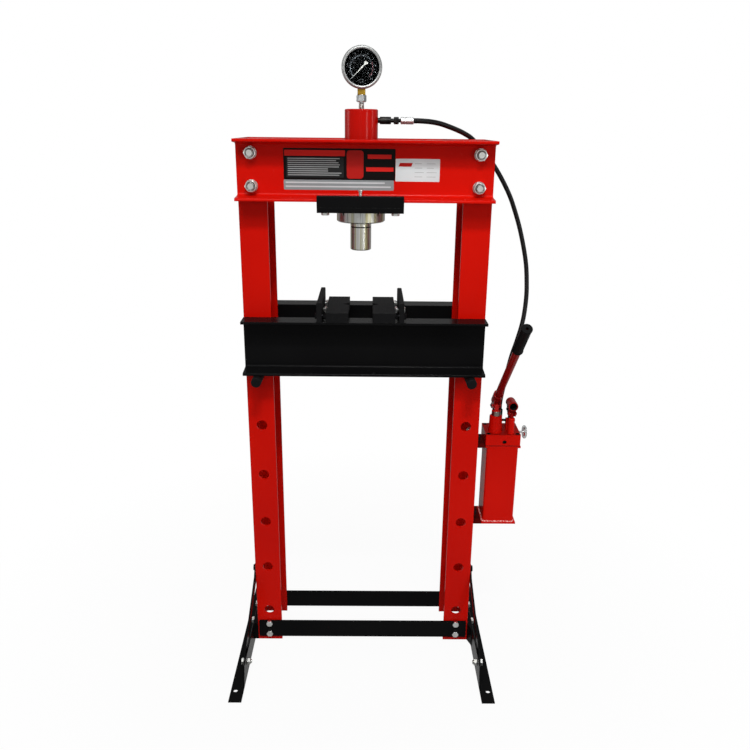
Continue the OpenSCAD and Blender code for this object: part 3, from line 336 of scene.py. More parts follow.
def brushedNut(name):  # brushed upright and a little rusty, with painted reflections as upright pale, yellow and dark bands
    f = Finish(name)
    edge = f.softEdge(edges["wide"])
    strokes = f.noise(900, 3.0, 0.65, stretch=(1, 1, 0.03))
    sheenBands = f.patches(0.44, 0.60, 40, 2.0, 0.5, stretch=(1, 1, 0.05))
    pale = f.patches(0.50, 0.62, 110, 2.0, stretch=(1, 1, 0.03))
    streaks = f.patches(0.58, 0.66, 260, 2.0, stretch=(1, 1, 0.02))
    tone = f.mix(sheenBands, brushed["colour"], brushed["paintedYellowSheen"])
    tone = f.mix(pale * 0.6, tone, brushed["pale"])
    tone = f.mix(streaks * 0.6, tone, brushed["paintedDarkStreak"])
    tone = f.mix(f.patches(0.58, 0.75, 90, 4.0, 0.6) * 0.35, tone, brushed["rust"])
    return f.shade(baseColor=tone, metallic=1.0, roughness=strokes * 0.22 + sheenBands * 0.08 + brushed["rough"],
                   normal=f.bump(strokes, 0.00004, 0.8, edge))


def milledSteel(name):
    f = Finish(name)
    edge = f.softEdge(edges["milled"])
    marks = f.noise(milled["lines"], 3.0, 0.6, stretch=(1.0, 0.03, 0.5))
    scuff = f.patches(0.58, 0.78, 60, 5.0, 0.7)
    rubbed = f.worn(edge, 0.04, 0.3) * f.patches(0.4, 0.6, 110, 4.0, 0.6)
    tone = f.mix(scuff * 0.7, milled["colour"], milled["bare"])
    tone = f.mix(rubbed * 0.7, tone, milled["rubbed"])
    return f.shade(baseColor=tone, metallic=rubbed * 0.5 + 0.02,
                   roughness=marks * 0.16 - scuff * 0.1 - rubbed * 0.1 + milled["rough"],
                   normal=f.bump(marks + scuff * 0.5, 0.00005, 0.7, edge), specularIorLevel=0.07)


def rubber(name, colour, rough, grain):
    f = Finish(name)
    cloud = f.noise(25, 3.0)
    fine = f.noise(grain, 3.0, 0.6)
    dusty = f.patches(0.55, 0.8, 60, 4.0, 0.65)
    tone = f.mix(f.span(cloud, 0.3, 0.8), colour, scaled(colour, 1.8))
    tone = f.mix(dusty * wearAndPaintedLight["dust"], tone, dirtAndShade["dust"])
    return f.shade(baseColor=tone, roughness=cloud * 0.12 + dusty * 0.1 + rough,
                   normal=f.bump(fine, 0.00006, 0.7), specularIorLevel=0.05)


def wrappedRubber(name, colour, faded):  # the hose's cover, with the print of the tape that it was cured in
    f = Finish(name)
    run = f.add("ShaderNodeUVMap", {"uv_map": "run"})
    tape = f.add("ShaderNodeTexWave", {"wave_type": "BANDS", "bands_direction": "Y", "wave_profile": "SAW"},
                 {"Vector": run, "Scale": 12.0, "Distortion": 0.6, "Detail": 1.0}, take="Fac")
    fine = f.noise(1300, 3.0, 0.6)
    cloud = f.noise(14, 3.0)
    return f.shade(baseColor=f.mix(f.span(cloud, 0.35, 0.75), colour, faded), roughness=cloud * 0.14 + 0.33,
                   normal=f.bump(tape * 0.5 + fine * 0.5, 0.00008, 0.7), specularIorLevel=0.12)


def vinyl(name, colour, rough=0.35, gloss=0.3):  # a plain sticker field
    f = Finish(name)
    grain = f.noise(700, 2.0)
    cloud = f.noise(9, 3.0)
    scratch = f.patches(0.66, 0.78, 160, 4.0, 0.7, stretch=(1, 1, 0.15))
    tone = f.mix(f.span(cloud, 0.35, 0.8), colour, scaled(colour, 0.86))
    return f.shade(baseColor=f.mix(scratch * 0.25, tone, scaled(colour, 0.6, 0.02)),
                   roughness=cloud * 0.1 + scratch * 0.15 + rough,
                   normal=f.bump(grain, 0.000015, 0.6), specularIorLevel=gloss)


def clearGlass(name, colour, ior):
    f = Finish(name)
    smear = f.patches(0.5, 0.9, 22, 4.0, 0.6)
    return f.shade(baseColor=colour, roughness=smear * 0.04 + 0.01, transmissionWeight=1.0, ior=ior,
                   normal=f.bump(f.noise(8), 0.00003, 0.3))


special = {  # finish: how it is made, and with what
    "smallSocketEnamel": (enamel, {"paint": "darkRedEnamel", "bore": smallSocket}),
    # the bracket's dark box is painted shade in the gap between column and pump head; the head's darkens its top face
    "bracketEnamel": (enamel, {"paint": "redEnamel", "darkBox": {"x": (0.3495, 0.3790)}}),
    "headEnamel": (enamel, {"paint": "redEnamel", "darkBox": {"z": (0.7452, 0.7475)}, "darkShare": 0.62}),
    "beamBoltZinc": (metal, {"plate": "zincPlate", "boltEnds": {
        "x": 0.310, "y": 0.1050, "z": 1.534, "rise": 0.0435, "inner": 0.0083, "outer": 0.0125}}),
    "blockBoltZinc": (metal, {"plate": "zincPlate", "darkenedBolts": {"x": (0.0, 0.30), "y": (0.044, 0.30)}}),
    # the bracket bolts' dark box is painted shade beside the pump head
    "frameBoltZinc": (metal, {"plate": "zincPlate", "darkenedBolts": {"x": (0.350, 0.374), "z": (0.24, 0.80)}}),
    "turnedSteel": (turnedSteel, {}),
    "largePlungerSteel": (turnedSteel, {"painted": (0.8155, 0.90)}),
    "ramSteel": (streakedSteel, {"groove": (1.3716, 1.3748)}),
    "brushedNut": (brushedNut, {}),
    "milledSteel": (milledSteel, {}),
    "hoseRubber": (wrappedRubber, {"colour": (0.0045, 0.0045, 0.0048), "faded": (0.009, 0.009, 0.009)}),
    "gripRubber": (rubber, {"colour": (0.0026, 0.0026, 0.0028), "rough": 0.5, "grain": 900}),
    "gasketRubber": (rubber, {"colour": (0.012, 0.012, 0.012), "rough": 0.6, "grain": 1200}),
    "dialFace": (vinyl, {"colour": (0.0022, 0.0026, 0.003), "rough": 0.55, "gloss": 0.05}),
    "dialInk": (vinyl, {"colour": (0.30, 0.33, 0.35), "rough": 0.5, "gloss": 0.1}),
    "dialArc": (vinyl, {"colour": (0.13, 0.145, 0.16), "rough": 0.5, "gloss": 0.1}),
    "dialRed": (vinyl, {"colour": (0.17, 0.075, 0.085), "rough": 0.5, "gloss": 0.1}),
    "needlePaint": (vinyl, {"colour": (0.74, 0.75, 0.70), "rough": 0.3}),
    "blackVinyl": (vinyl, {"colour": (0.0045, 0.0032, 0.0032), "gloss": 0.06}),
    "stripVinyl": (vinyl, {"colour": (0.24, 0.265, 0.27), "gloss": 0.15}),
    "dullVinyl": (vinyl, {"colour": (0.016, 0.017, 0.017), "gloss": 0.08}),
    "ruleVinyl": (vinyl, {"colour": (0.27, 0.285, 0.285), "gloss": 0.1}),
    "paleVinyl": (vinyl, {"colour": (0.53, 0.56, 0.57), "gloss": 0.15}),
    "brightVinyl": (vinyl, {"colour": (0.62, 0.016, 0.012), "gloss": 0.1}),
    "redVinyl": (vinyl, {"colour": (0.42, 0.011, 0.008), "gloss": 0.1}),
    "whiteVinyl": (vinyl, {"colour": (0.62, 0.665, 0.67), "gloss": 0.15}),
    "clearGlass": (clearGlass, {"colour": (0.97, 0.985, 0.99), "ior": 1.06}),
}
finishes = {name: enamel(name) for name in paints}
finishes.update({name: metal(name) for name in metals})
finishes.update({name: make(name, **options) for name, (make, options) in special.items()})
print("finishes made:", len(finishes))

wearing = {  # the hose, the needle and the spring are made further down
    "redEnamel": "left_column right_column front_top_beam rear_top_beam oil_tank pump_cylinders",
    "darkRedEnamel": "large_socket handle small_plunger", "smallSocketEnamel": "small_socket",
    "cylinderEnamel": "cylinder", "headEnamel": "pump_head", "bracketEnamel": "upper_bracket lower_bracket",
    "blackEnamel": "front_crossbar rear_crossbar left_foot right_foot left_braces right_braces "
                   "front_bed_channel rear_bed_channel bed_spacers carriage_plate carriage_hooks",
    "milledSteel": "left_v_block right_v_block left_side_plate right_side_plate left_bed_pin right_bed_pin",
    "zincPlate": "lock_screw carriage_bolts", "beamBoltZinc": "beam_bolts beam_nuts",
    "blockBoltZinc": "left_block_bolts right_block_bolts", "frameBoltZinc": "frame_bolts frame_nuts",
    "nippleZinc": "gauge_fitting", "ferruleZinc": "hose_end", "brushedNut": "ring_nut", "ramSteel": "ram",
    "turnedSteel": "gland", "largePlungerSteel": "large_plunger",
    "blackOxide": "pump_links pump_outlet head_screws relief_screw hose_coupler",
    "brass": "gauge_stem", "stainless": "gauge_case", "dialFace": "gauge_dial", "clearGlass": "gauge_glass",
    "chromePlate": "release_screw", "gasketRubber": "head_gasket", "gripRubber": "handle_grip",
}
for finish, names in wearing.items():
    for name in names.split():
        nodes[name].data.materials.clear()
        nodes[name].data.materials.append(finishes[finish])
print("nodes dressed")


def piece(name, mesh, finish, body, slot):
    made = bpy.data.objects.new(name, mesh)
    scene.collection.objects.link(made)
    if finish:
        mesh.materials.clear()
        mesh.materials.append(finishes[finish])
    if body:
        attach(made, body)
    return made


def meshFrom(name, shape, place=None):
    bmesh.ops.recalc_face_normals(shape, faces=shape.faces)
    mesh = bpy.data.meshes.new(name)
    shape.to_mesh(mesh)
    shape.free()
    if place:
        mesh.transform(place)
    return mesh


def sides(shape, a, b):  # faces between two rings of corners
    count = len(a)
    return [shape.faces.new((a[k], a[(k + 1) % count], b[(k + 1) % count], b[k])) for k in range(count)]


def slab(shape, low, high):  # a closed solid between two outlines
    a, b = ([shape.verts.new(corner) for corner in outline] for outline in (low, high))
    sides(shape, a, b)
    shape.faces.new(a[::-1])
    shape.faces.new(b)


def polar(radius, degrees):
    angle = math.radians(degrees)
    return radius * math.cos(angle), radius * math.sin(angle)


hose = {"diameter": 0.014, "sides": 24, "cuts": 6, "tapeScale": 10, "route": [  # in mm, from cylinder to pump
    (131.8, 0, 1663), (139.5, 0, 1663), (146.5, 0, 1663), (179, 7, 1661), (209, 25, 1656), (240, 55, 1647),
    (270, 93, 1637), (292, 124, 1628), (314, 150, 1616), (344, 166, 1589), (376, 172, 1554), (406, 173, 1513),
    (435, 172, 1464), (455, 169, 1420), (481, 161, 1344), (502, 148, 1253), (508, 135, 1184), (507, 122, 1131),
    (498, 104, 1069), (480, 84, 1011), (463, 66, 967), (450, 50, 922), (439, 37, 876), (432, 31, 840),
    (430, 31, 815), (430, 31, 800.3)]}


def smoothPath(points, cuts):  # a curve through every point
    path = []
    for i in range(len(points) - 1):
        a, b, c, d = (points[min(max(k, 0), len(points) - 1)] for k in (i - 1, i, i + 1, i + 2))
        for j in range(cuts):
            t = j / cuts
            path.append(0.5 * (2 * b + (c - a) * t + (2 * a - 5 * b + 4 * c - d) * t * t
                               + (3 * b - a - 3 * c + d) * t ** 3))
    return path + [points[-1]]


def makeHose():
    path = smoothPath([Vector(point) / 1000 for point in hose["route"]], hose["cuts"])
    shape, count, radius = bmesh.new(), hose["sides"], hose["diameter"] / 2
    layer, run, rings = shape.loops.layers.uv.new("run"), 0.0, []
    for i, point in enumerate(path):
        tangent = (path[min(i + 1, len(path) - 1)] - path[max(i - 1, 0)]).normalized()
        side = tangent.cross(Vector((0, 1, 0))).normalized()
        other = side.cross(tangent)
        run += (point - path[i - 1]).length if i else 0
        rings.append((run, [shape.verts.new(point + radius * (math.cos(a) * side - math.sin(a) * other))
                            for a in (2 * math.pi * k / count for k in range(count))]))
    for (runA, a), (runB, b) in zip(rings, rings[1:]):
        for k, face in enumerate(sides(shape, a, b)):
            face.smooth = True
            for loop, u, v in zip(face.loops, (k, k + 1, k + 1, k), (runA, runA, runB, runB)):
                loop[layer].uv = (u / count, v * hose["tapeScale"])
    shape.faces.new(rings[0][1][::-1])
    shape.faces.new(rings[-1][1])
    tube = piece("hoseTube", meshFrom("hoseTube", shape), "hoseRubber", None, "rubber")
    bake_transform(tube)
    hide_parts("hose")
    length = sum((b - a).length for a, b in zip(path, path[1:]))
    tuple(path[0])
    print("hose made:", round(length, 3), "m")


makeHose()


class Pattern(Recipe):  # a geometry tree with named sizes
    def __init__(self, name, sizes):
        super().__init__(bpy.data.node_groups.new(name, "GeometryNodeTree"))
        faces = self.tree.interface
        faces.new_socket("Geometry", in_out="OUTPUT", socket_type="NodeSocketGeometry")
        faces.new_socket("Geometry", in_out="INPUT", socket_type="NodeSocketGeometry")
        for size, value in sizes.items():
            kind = "NodeSocketInt" if isinstance(value, int) else "NodeSocketFloat"
            faces.new_socket(size, in_out="INPUT", socket_type=kind).default_value = value
        self.given = self.tree.nodes.new("NodeGroupInput")

    def size(self, name):
        return Flow(self, self.given.outputs[name])

    def row(self, count):
        return self.add("GeometryNodePoints", {}, {"Count": count, "Radius": 0.001})

    def index(self):
        return self.add("GeometryNodeInputIndex")

    def between(self, low, high, seed):  # a random number for each point
        return self.add("FunctionNodeRandomValue", {"data_type": "FLOAT"},
                        {2: low, 3: high, "Seed": seed}, take=1)

    def moved(self, geometry, position):
        return self.add("GeometryNodeSetPosition", {}, {"Geometry": geometry, "Position": position})

    def bars(self, spots, **how):
        bar = self.add("GeometryNodeMeshCube", {}, {"Size": (1, 1, 1)})
        return self.copies(spots, bar, **how)

    def copies(self, spots, shape, **how):
        return self.add("GeometryNodeInstanceOnPoints", {}, {"Points": spots, "Instance": shape, **how})

    def end(self, geometry, finish, smooth=True):
        real = self.add("GeometryNodeRealizeInstances", {}, {0: geometry})
        soft = self.add("GeometryNodeSetShadeSmooth", {}, {"Geometry": real, "Shade Smooth": smooth})
        worn = self.add("GeometryNodeSetMaterial", {}, {"Geometry": soft, "Material": finishes[finish]})
        self.add("NodeGroupOutput", {}, {0: worn})
        return self

    def make(self, name, base, body, slot, place=None, **sizes):  # run on a base mesh, and keep the result
        start = bpy.data.objects.new(name + "Base", base)
        scene.collection.objects.link(start)
        modifier = start.modifiers.new("pattern", "NODES")
        modifier.node_group = self.tree
        for item in self.tree.interface.items_tree:
            if item.in_out == "INPUT" and item.name in sizes:
                modifier[item.identifier] = sizes[item.name]
        depsgraph = bpy.context.evaluated_depsgraph_get()
        mesh = bpy.data.meshes.new_from_object(start.evaluated_get(depsgraph))
        bpy.data.objects.remove(start)
        mesh.name = name
        if place:
            mesh.transform(place)
        return piece(name, mesh, None, body, slot)


def points(name, places=((0, 0, 0),), turns=None):
    mesh = bpy.data.meshes.new(name)
    mesh.from_pydata(places, [], [])
    if turns:
        turn = mesh.attributes.new("turn", "FLOAT_VECTOR", "POINT")
        turn.data.foreach_set("vector", [angle for each in turns for angle in each])
    return mesh


def lines(name, chains, closed=False):  # chains of points, as edges only
    vertices, chainEdges = [], []
    for chain in chains:
        first = len(vertices)
        vertices += chain
        chainEdges += [(first + i, first + i + 1) for i in range(len(chain) - 1)]
        if closed:
            chainEdges.append((len(vertices) - 1, first))
    mesh = bpy.data.meshes.new(name)
    mesh.from_pydata(vertices, chainEdges, [])
    return mesh


# screw threads: the x, y and z of the bolt ends, row by row, and which way each row points
quarter = math.pi / 2
ways = {"front": (quarter, 0, 0), "back": (-quarter, 0, 0), "right": (0, quarter, 0), "left": (0, -quarter, 0),
        "up": (0, 0, 0)}
threads = {
    "beamBoltThreads": {
        "body": "frame", "sizes": {"Radius": 0.0100, "Pitch": 0.0020, "Length": 0.0048},
        "rows": [((-0.31, 0.31), (-0.1065,), (1.4905, 1.5775), "front"),
                 ((-0.31, 0.31), (0.1065,), (1.4905, 1.5775), "back")]},
    "frameBoltThreads": {
        "body": "frame", "sizes": {"Radius": 0.0060, "Pitch": 0.0013, "Length": 0.0032},
        "rows": [((-0.31, 0.31), (-0.0618,), (0.0365, 0.0755), "back"),
                 ((-0.31, 0.31), (0.0618,), (0.0365, 0.0755), "front"),
                 ((-0.3322,), (-0.045, 0.045), (0.058,), "right"),
                 ((-0.3318,), (-0.056, 0.056), (0.27,), "right"),
                 ((-0.3518,), (-0.236, 0.236), (0.045,), "right"),
                 ((0.3322,), (-0.045, 0.045), (0.058,), "left"),
                 ((0.3318,), (-0.056, 0.056), (0.27,), "left"),
                 ((0.3518,), (-0.236, 0.236), (0.045,), "left"),
                 ((0.3318,), (-0.033, 0.023), (0.7295, 0.468), "left")]},
    "gaugeThreads": {
        "body": "carriage", "sizes": {"Radius": 0.0070, "Pitch": 0.0016, "Length": 0.0140},
        "rows": [((-0.013,), (0,), (1.6935,), "up")]},
    "lockScrewThreads": {
        "body": "clamp_screw", "sizes": {"Radius": 0.0040, "Pitch": 0.0011, "Length": 0.0100},
        "rows": [((-0.013,), (-0.135,), (1.4735,), "up")]},
}


def threadPattern():
    g = Pattern("threads", {"Radius": 0.01, "Pitch": 0.002, "Length": 0.005})
    radius, pitch, length = g.size("Radius"), g.size("Pitch"), g.size("Length")
    helix = g.add("GeometryNodeCurveSpiral", {}, {
        "Resolution": 28, "Rotations": length / pitch, "Start Radius": radius, "End Radius": radius, "Height": length})
    ridge = g.add("GeometryNodeCurvePrimitiveCircle", {}, {"Resolution": 5, "Radius": pitch * 0.40})
    coil = g.add("GeometryNodeCurveToMesh", {}, {"Curve": helix, "Profile Curve": ridge, "Fill Caps": True})
    turn = g.add("GeometryNodeInputNamedAttribute", {"data_type": "FLOAT_VECTOR"}, {"Name": "turn"})
    return g.end(g.copies(g.size("Geometry"), coil, Rotation=turn), "zincPlate")


def makeThreads():
    pattern, cut = threadPattern(), 0
    for name, thread in threads.items():
        ends = [((x, y, z), ways[way]) for xs, ys, zs, way in thread["rows"]
                for x in xs for y in ys for z in zs]
        base = points(name + "Ends", *zip(*ends))
        pattern.make(name, base, thread["body"], "bright_steel", **thread["sizes"])
        cut += len(ends)
    print("threads cut:", cut)


makeThreads()

# weld seams
seams = {
    "tankSeam": {"sizes": {"Width": 0.0036, "Ripple": 0.0030}, "lift": 0.0006, "corner": 0.006},
    "footSeams": {"body": "frame", "sizes": {"Width": 0.0030, "Ripple": 0.0026}, "low": 0.010, "high": 0.069,
                  "spots": [(-0.3622, -0.080), (-0.3622, 0.080), (0.3622, -0.110), (0.3622, 0.080)]},
    "bedSeams": {"body": "bed", "sizes": {"Width": 0.0030, "Ripple": 0.0026}, "low": 0.983, "high": 1.060,
                 "spots": [(x, y) for x in (0.2600, 0.2520, -0.2600, -0.2520) for y in (-0.081, 0.081)]},
}
bead = {"core": 0.82, "squash": 0.55, "smallest": 0.86, "largest": 1.12}


def seamPattern(name, finish):
    g = Pattern(name, {"Width": 0.003, "Ripple": 0.0025, "Seed": 4})
    width = g.size("Width")
    line = g.add("GeometryNodeMeshToCurve", {}, {"Mesh": g.size("Geometry")})
    steps = g.add("GeometryNodeResampleCurve", {"mode": "LENGTH"}, {"Curve": line, "Length": g.size("Ripple")})
    ring = g.add("GeometryNodeCurvePrimitiveCircle", {}, {"Resolution": 8, "Radius": width * bead["core"]})
    core = g.add("GeometryNodeCurveToMesh", {}, {"Curve": steps, "Profile Curve": ring, "Fill Caps": True})
    drop = g.add("GeometryNodeMeshUVSphere", {}, {"Segments": 10, "Rings": 6, "Radius": width})
    tangent = g.add("GeometryNodeInputTangent")
    along = g.add("FunctionNodeAlignRotationToVector", {"axis": "Z"}, {"Vector": tangent})
    size = g.between(bead["smallest"], bead["largest"], g.size("Seed"))
    drops = g.copies(steps, drop, Rotation=along, Scale=g.together(size, size, bead["squash"]))
    return g.end(g.add("GeometryNodeJoinGeometry", {}, {0: [core, drops]}), finish)


def roundedLoop(x0, x1, y0, y1, z, r):
    corners = ((x1 - r, y1 - r, 0), (x0 + r, y1 - r, 90), (x0 + r, y0 + r, 180), (x1 - r, y0 + r, 270))
    return [(cx + dx, cy + dy, z) for cx, cy, first in corners
            for dx, dy in (polar(r, first + more) for more in (0, 22.5, 45, 67.5, 90))]


def makeSeams():
    redSeam, blackSeam = seamPattern("redSeam", "seamEnamel"), seamPattern("blackSeam", "blackEnamel")
    low, high = (Vector(c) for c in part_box("oil_tank"))
    tank = seams["tankSeam"]
    base = roundedLoop(low.x, high.x, low.y, high.y, low.z + tank["lift"], tank["corner"])
    redSeam.make("tankSeam", lines("tankLine", [base], closed=True), "frame", "red_paint", **tank["sizes"])
    for name in ("footSeams", "bedSeams"):
        seam = seams[name]
        uprights = [[(x, y, seam["low"]), (x, y, seam["high"])] for x, y in seam["spots"]]
        blackSeam.make(name, lines(name + "Lines", uprights), seam["body"], "black_paint", **seam["sizes"])
    print("seams laid")


makeSeams()

# gauge
gauge = {"centre": (-0.013, 0, 1.798), "turn": 4, "face": -0.0007, "first": 225, "sweep": 270}
gaugePlace = (Matrix.Translation(gauge["centre"]) @ Matrix.Rotation(math.radians(gauge["turn"]), 4, "Z")
              @ Matrix.Rotation(math.radians(90), 4, "X"))
dialTicks = {
    "outerTicks": {"Count": 51, "Every": 5, "Radius": 0.0335, "Short": 0.0012, "Long": 0.0026, "Wide": 0.00040},
    "innerTicks": {"Count": 36, "Every": 5, "Radius": 0.0285, "Short": 0.0010, "Long": 0.0020, "Wide": 0.00036},
}
dialBands = {
    "dialBand": {"radii": (0.0300, 0.0316), "end": 225, "thick": 0.00008, "steps": 60, "ink": "dialArc"},
    "dialRedBand": {"radii": (0.0300, 0.0316), "end": 30, "thick": 0.00014, "steps": 20, "ink": "dialRed"},
}
dialNumbers = [{"count": 11, "radius": 0.0388, "size": 0.0060}, {"count": 8, "radius": 0.0228, "size": 0.0052}]
dialUnits = {"size": 0.0034, "words": {"psi x1000": -0.0305, "bar x100": -0.0365}}
figure = {"thick": 0.00012, "roundness": 3}


def tickPattern():
    g = Pattern("dialTicks", {"Count": 51, "Every": 5, "Radius": 0.037, "Short": 0.0014, "Long": 0.003,
                              "Wide": 0.0004, "Thick": 0.0003})
    count, radius, short, index = g.size("Count"), g.size("Radius"), g.size("Short"), g.index()
    angle = math.radians(gauge["first"]) - index / (count - 1.0) * math.radians(gauge["sweep"])
    ring = g.moved(g.row(count), g.together(angle.cosine() * radius, angle.sine() * radius, 0.0))
    major = (index % g.size("Every")) < 0.5
    length, width = short + major * (g.size("Long") - short), g.size("Wide") * (major * 0.7 + 1.0)
    size = g.together(length, width, g.size("Thick"))
    return g.end(g.bars(ring, Rotation=g.together(0.0, 0.0, angle), Scale=size), "dialInk", smooth=False)


def flatRing(radii, start, end, z, thick, steps):  # a printed band, as a thin closed plate
    shape, rows, (inner, outer) = bmesh.new(), [], radii
    corners = ((inner, z), (outer, z), (outer, z + thick), (inner, z + thick))
    for i in range(steps + 1):
        degrees = start + (end - start) * i / steps
        rows.append([shape.verts.new((*polar(radius, degrees), height)) for radius, height in corners])
    for a, b in zip(rows, rows[1:]):
        sides(shape, a, b)
    shape.faces.new(rows[0])
    shape.faces.new(rows[-1][::-1])
    return shape


def writing(text, size, place):  # generic dial figures, as a plain mesh in the dial's own axes
    curve = bpy.data.curves.new("figure", "FONT")
    curve.body, curve.size = text, size
    curve.extrude, curve.resolution_u = figure["thick"] / 2, figure["roundness"]
    curve.align_x, curve.align_y = "CENTER", "CENTER"
    written = bpy.data.objects.new("figure", curve)
    mesh = bpy.data.meshes.new_from_object(written)
    bpy.data.objects.remove(written)
    mesh.transform(Matrix.Translation(place))
    return mesh


def makeDial():
    ticks, face = tickPattern(), gauge["face"]
    for name, sizes in dialTicks.items():
        place = gaugePlace @ Matrix.Translation((0, 0, face))
        ticks.make(name, points(name + "Start"), "carriage", "dial", place=place, **sizes)
    for name, band in dialBands.items():
        start = gauge["first"] - gauge["sweep"]
        shape = flatRing(band["radii"], start, band["end"], face, band["thick"], band["steps"])
        piece(name, meshFrom(name, shape, gaugePlace), band["ink"], "carriage", "dial")
    figures = []
    for scale in dialNumbers:
        for i in range(scale["count"]):
            x, y = polar(scale["radius"], gauge["first"] - gauge["sweep"] * i / (scale["count"] - 1))
            figures.append(writing(str(i), scale["size"], (x, y, face)))
    figures += [writing(words, dialUnits["size"], (0, y, face)) for words, y in dialUnits["words"].items()]
    shape = bmesh.new()
    for mesh in figures:
        shape.from_mesh(mesh)
    piece("dialFigures", meshFrom("dialFigures", shape, gaugePlace), "dialInk", "carriage", "dial")
    print("dial printed:", len(figures), "figures")


makeDial()

needle = {"height": 0.0031, "thick": 0.0009, "taper": 0.86,
          "outline": ((0.0440, 0.0002), (0.012, 0.0009), (0.0055, 0.0014), (0.0, 0.0026), (-0.0050, 0.0016),
                      (-0.0090, 0.0012), (-0.0180, 0.0054), (-0.0200, 0.0046)),
          "hub": (0.0026, 0.0012, 0.0052), "spindle": (0.0015, -0.008, 0.0012),  # radius, low end, high end
          "draft": 0.88}


def makeNeedle():
    shape = bmesh.new()
    outline = list(needle["outline"]) + [(x, -y) for x, y in reversed(needle["outline"])]
    base, top = needle["height"], needle["height"] + needle["thick"]
    slab(shape, [(x, y, base) for x, y in outline], [(x, y * needle["taper"], top) for x, y in outline])
    for radius, low, high in (needle["hub"], needle["spindle"]):
        bmesh.ops.create_cone(shape, cap_ends=True, segments=32, depth=high - low, radius1=radius,
                              radius2=radius * needle["draft"], matrix=Matrix.Translation((0, 0, (low + high) / 2)))
    atZero = Matrix.Rotation(math.radians(gauge["first"]), 4, "Z")
    made = piece("needle", meshFrom("needle", shape, gaugePlace @ atZero), "needlePaint", "needle", "needle")
    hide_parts("gauge_needle")
    print("needle set")


makeNeedle()


def makeSpring():  # the coil inside the cylinder closes up between the gland and the piston
    coil = nodes["return_spring"]
    mesh = coil.data.copy()
    mesh.transform(coil.matrix_world)
    made = piece("returnCoil", mesh, "turnedSteel", None, None)
    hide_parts("return_spring")
    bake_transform(made)
    print("spring blended")


makeSpring()


def makeStop():  # closes the small socket's tube half way in
    shape, radius = bmesh.new(), smallSocket["stopRadius"]
    turn = Vector(smallSocket["direction"]).to_track_quat("Z", "X").to_matrix().to_4x4()
    place = Matrix.Translation(smallSocket["point"]) @ turn
    bmesh.ops.create_cone(shape, cap_ends=True, segments=48, radius1=radius, radius2=radius,
                          depth=smallSocket["stopThick"], matrix=place)
    piece("socketStop", meshFrom("socketStop", shape), "gasketRubber", "small_lever", "black_steel")
    print("socket closed")


makeStop()

# plain label fields on the front beam: left, right, bottom and top, finish, corner radius and layer
labels = {
    "panelBlack": ((-0.2219, 0.0808, 1.5082, 1.5907), "blackVinyl", 0.0030, 0),
    "stripGrey": ((-0.2222, 0.0773, 1.4815, 1.5084), "stripVinyl", 0.0030, 0),
    "headerRed": ((-0.2189, -0.0555, 1.5705, 1.5857), "brightVinyl", 0.0020, 1),
    "fieldDull": ((-0.2143, -0.0591, 1.5144, 1.5671), "dullVinyl", 0.0020, 1),
    "blockRed": ((-0.0510, -0.0056, 1.5121, 1.5858), "redVinyl", 0.0080, 1),
    "panelWhite": ((0.0813, 0.2012, 1.5059, 1.5655), "whiteVinyl", 0.0020, 0),
    "markRed": ((0.0890, 0.1276, 1.5452, 1.5548), "redVinyl", 0.0010, 1),
}
sheet = {"face": -0.0870, "gap": 0.00002, "thick": 0.00025, "layer": 0.6, "lean": 0.004}


def makeLabels():
    for name, ((x0, x1, z0, z1), finish, corner, layer) in labels.items():
        outline = [(x, z) for x, z, _ in roundedLoop(x0, x1, z0, z1, 0, corner)]
        if name == "markRed":  # a slanted block
            outline = [(x0, z0), (x1 - sheet["lean"], z0), (x1, z1), (x0 + sheet["lean"], z1)]
        back, front = (sheet["face"] - d for d in (sheet["gap"], sheet["thick"] * (1 + layer * sheet["layer"])))
        shape = bmesh.new()
        slab(shape, [(x, back, z) for x, z in outline], [(x, front, z) for x, z in outline])
        piece(name, meshFrom(name, shape), finish, "frame", None)
    print("labels laid:", len(labels))


makeLabels()

# plain bars under each other: where the top one starts, their finish and their sizes
ruled = {
    "ruleField": ((-0.2105, -0.08748, 1.5640), "ruleVinyl", {
        "Count": 9, "Spacing": 0.0054, "Length": 0.1460, "Height": 0.0025, "Shortest": 0.66, "Seed": 3}),
    "ruleStrip": ((-0.2170, -0.08727, 1.5010), "paleVinyl", {
        "Count": 2, "Spacing": 0.0105, "Length": 0.2860, "Height": 0.0037, "Shortest": 0.88, "Seed": 5}),
    "ruleRedA": ((0.0055, -0.08727, 1.5700), "brightVinyl", {
        "Count": 1, "Spacing": 0.01, "Length": 0.0640, "Height": 0.0110, "Shortest": 1.0, "Seed": 1}),
    "ruleRedB": ((0.0015, -0.08727, 1.5370), "brightVinyl", {
        "Count": 1, "Spacing": 0.01, "Length": 0.0740, "Height": 0.0110, "Shortest": 1.0, "Seed": 1}),
    "rulePanelA": ((0.1330, -0.08727, 1.5530), "ruleVinyl", {
        "Count": 4, "Spacing": 0.0115, "Length": 0.0250, "Height": 0.0010, "Shortest": 0.7, "Seed": 8}),
    "rulePanelB": ((0.1660, -0.08727, 1.5530), "ruleVinyl", {
        "Count": 4, "Spacing": 0.0115, "Length": 0.0270, "Height": 0.0010, "Shortest": 0.7, "Seed": 9}),
}


def rulePattern(name, finish):
    g = Pattern(name, {"Count": 10, "Spacing": 0.005, "Length": 0.14, "Height": 0.002, "Thick": 0.00006,
                       "Shortest": 0.6, "Seed": 1})
    length = g.between(g.size("Shortest"), 1.0, g.size("Seed")) * g.size("Length")
    spot = g.together(length * 0.5, 0.0, g.index() * g.size("Spacing") * -1.0)
    size = g.together(length, g.size("Thick"), g.size("Height"))
    return g.end(g.bars(g.moved(g.row(g.size("Count")), spot), Scale=size), finish, smooth=False)


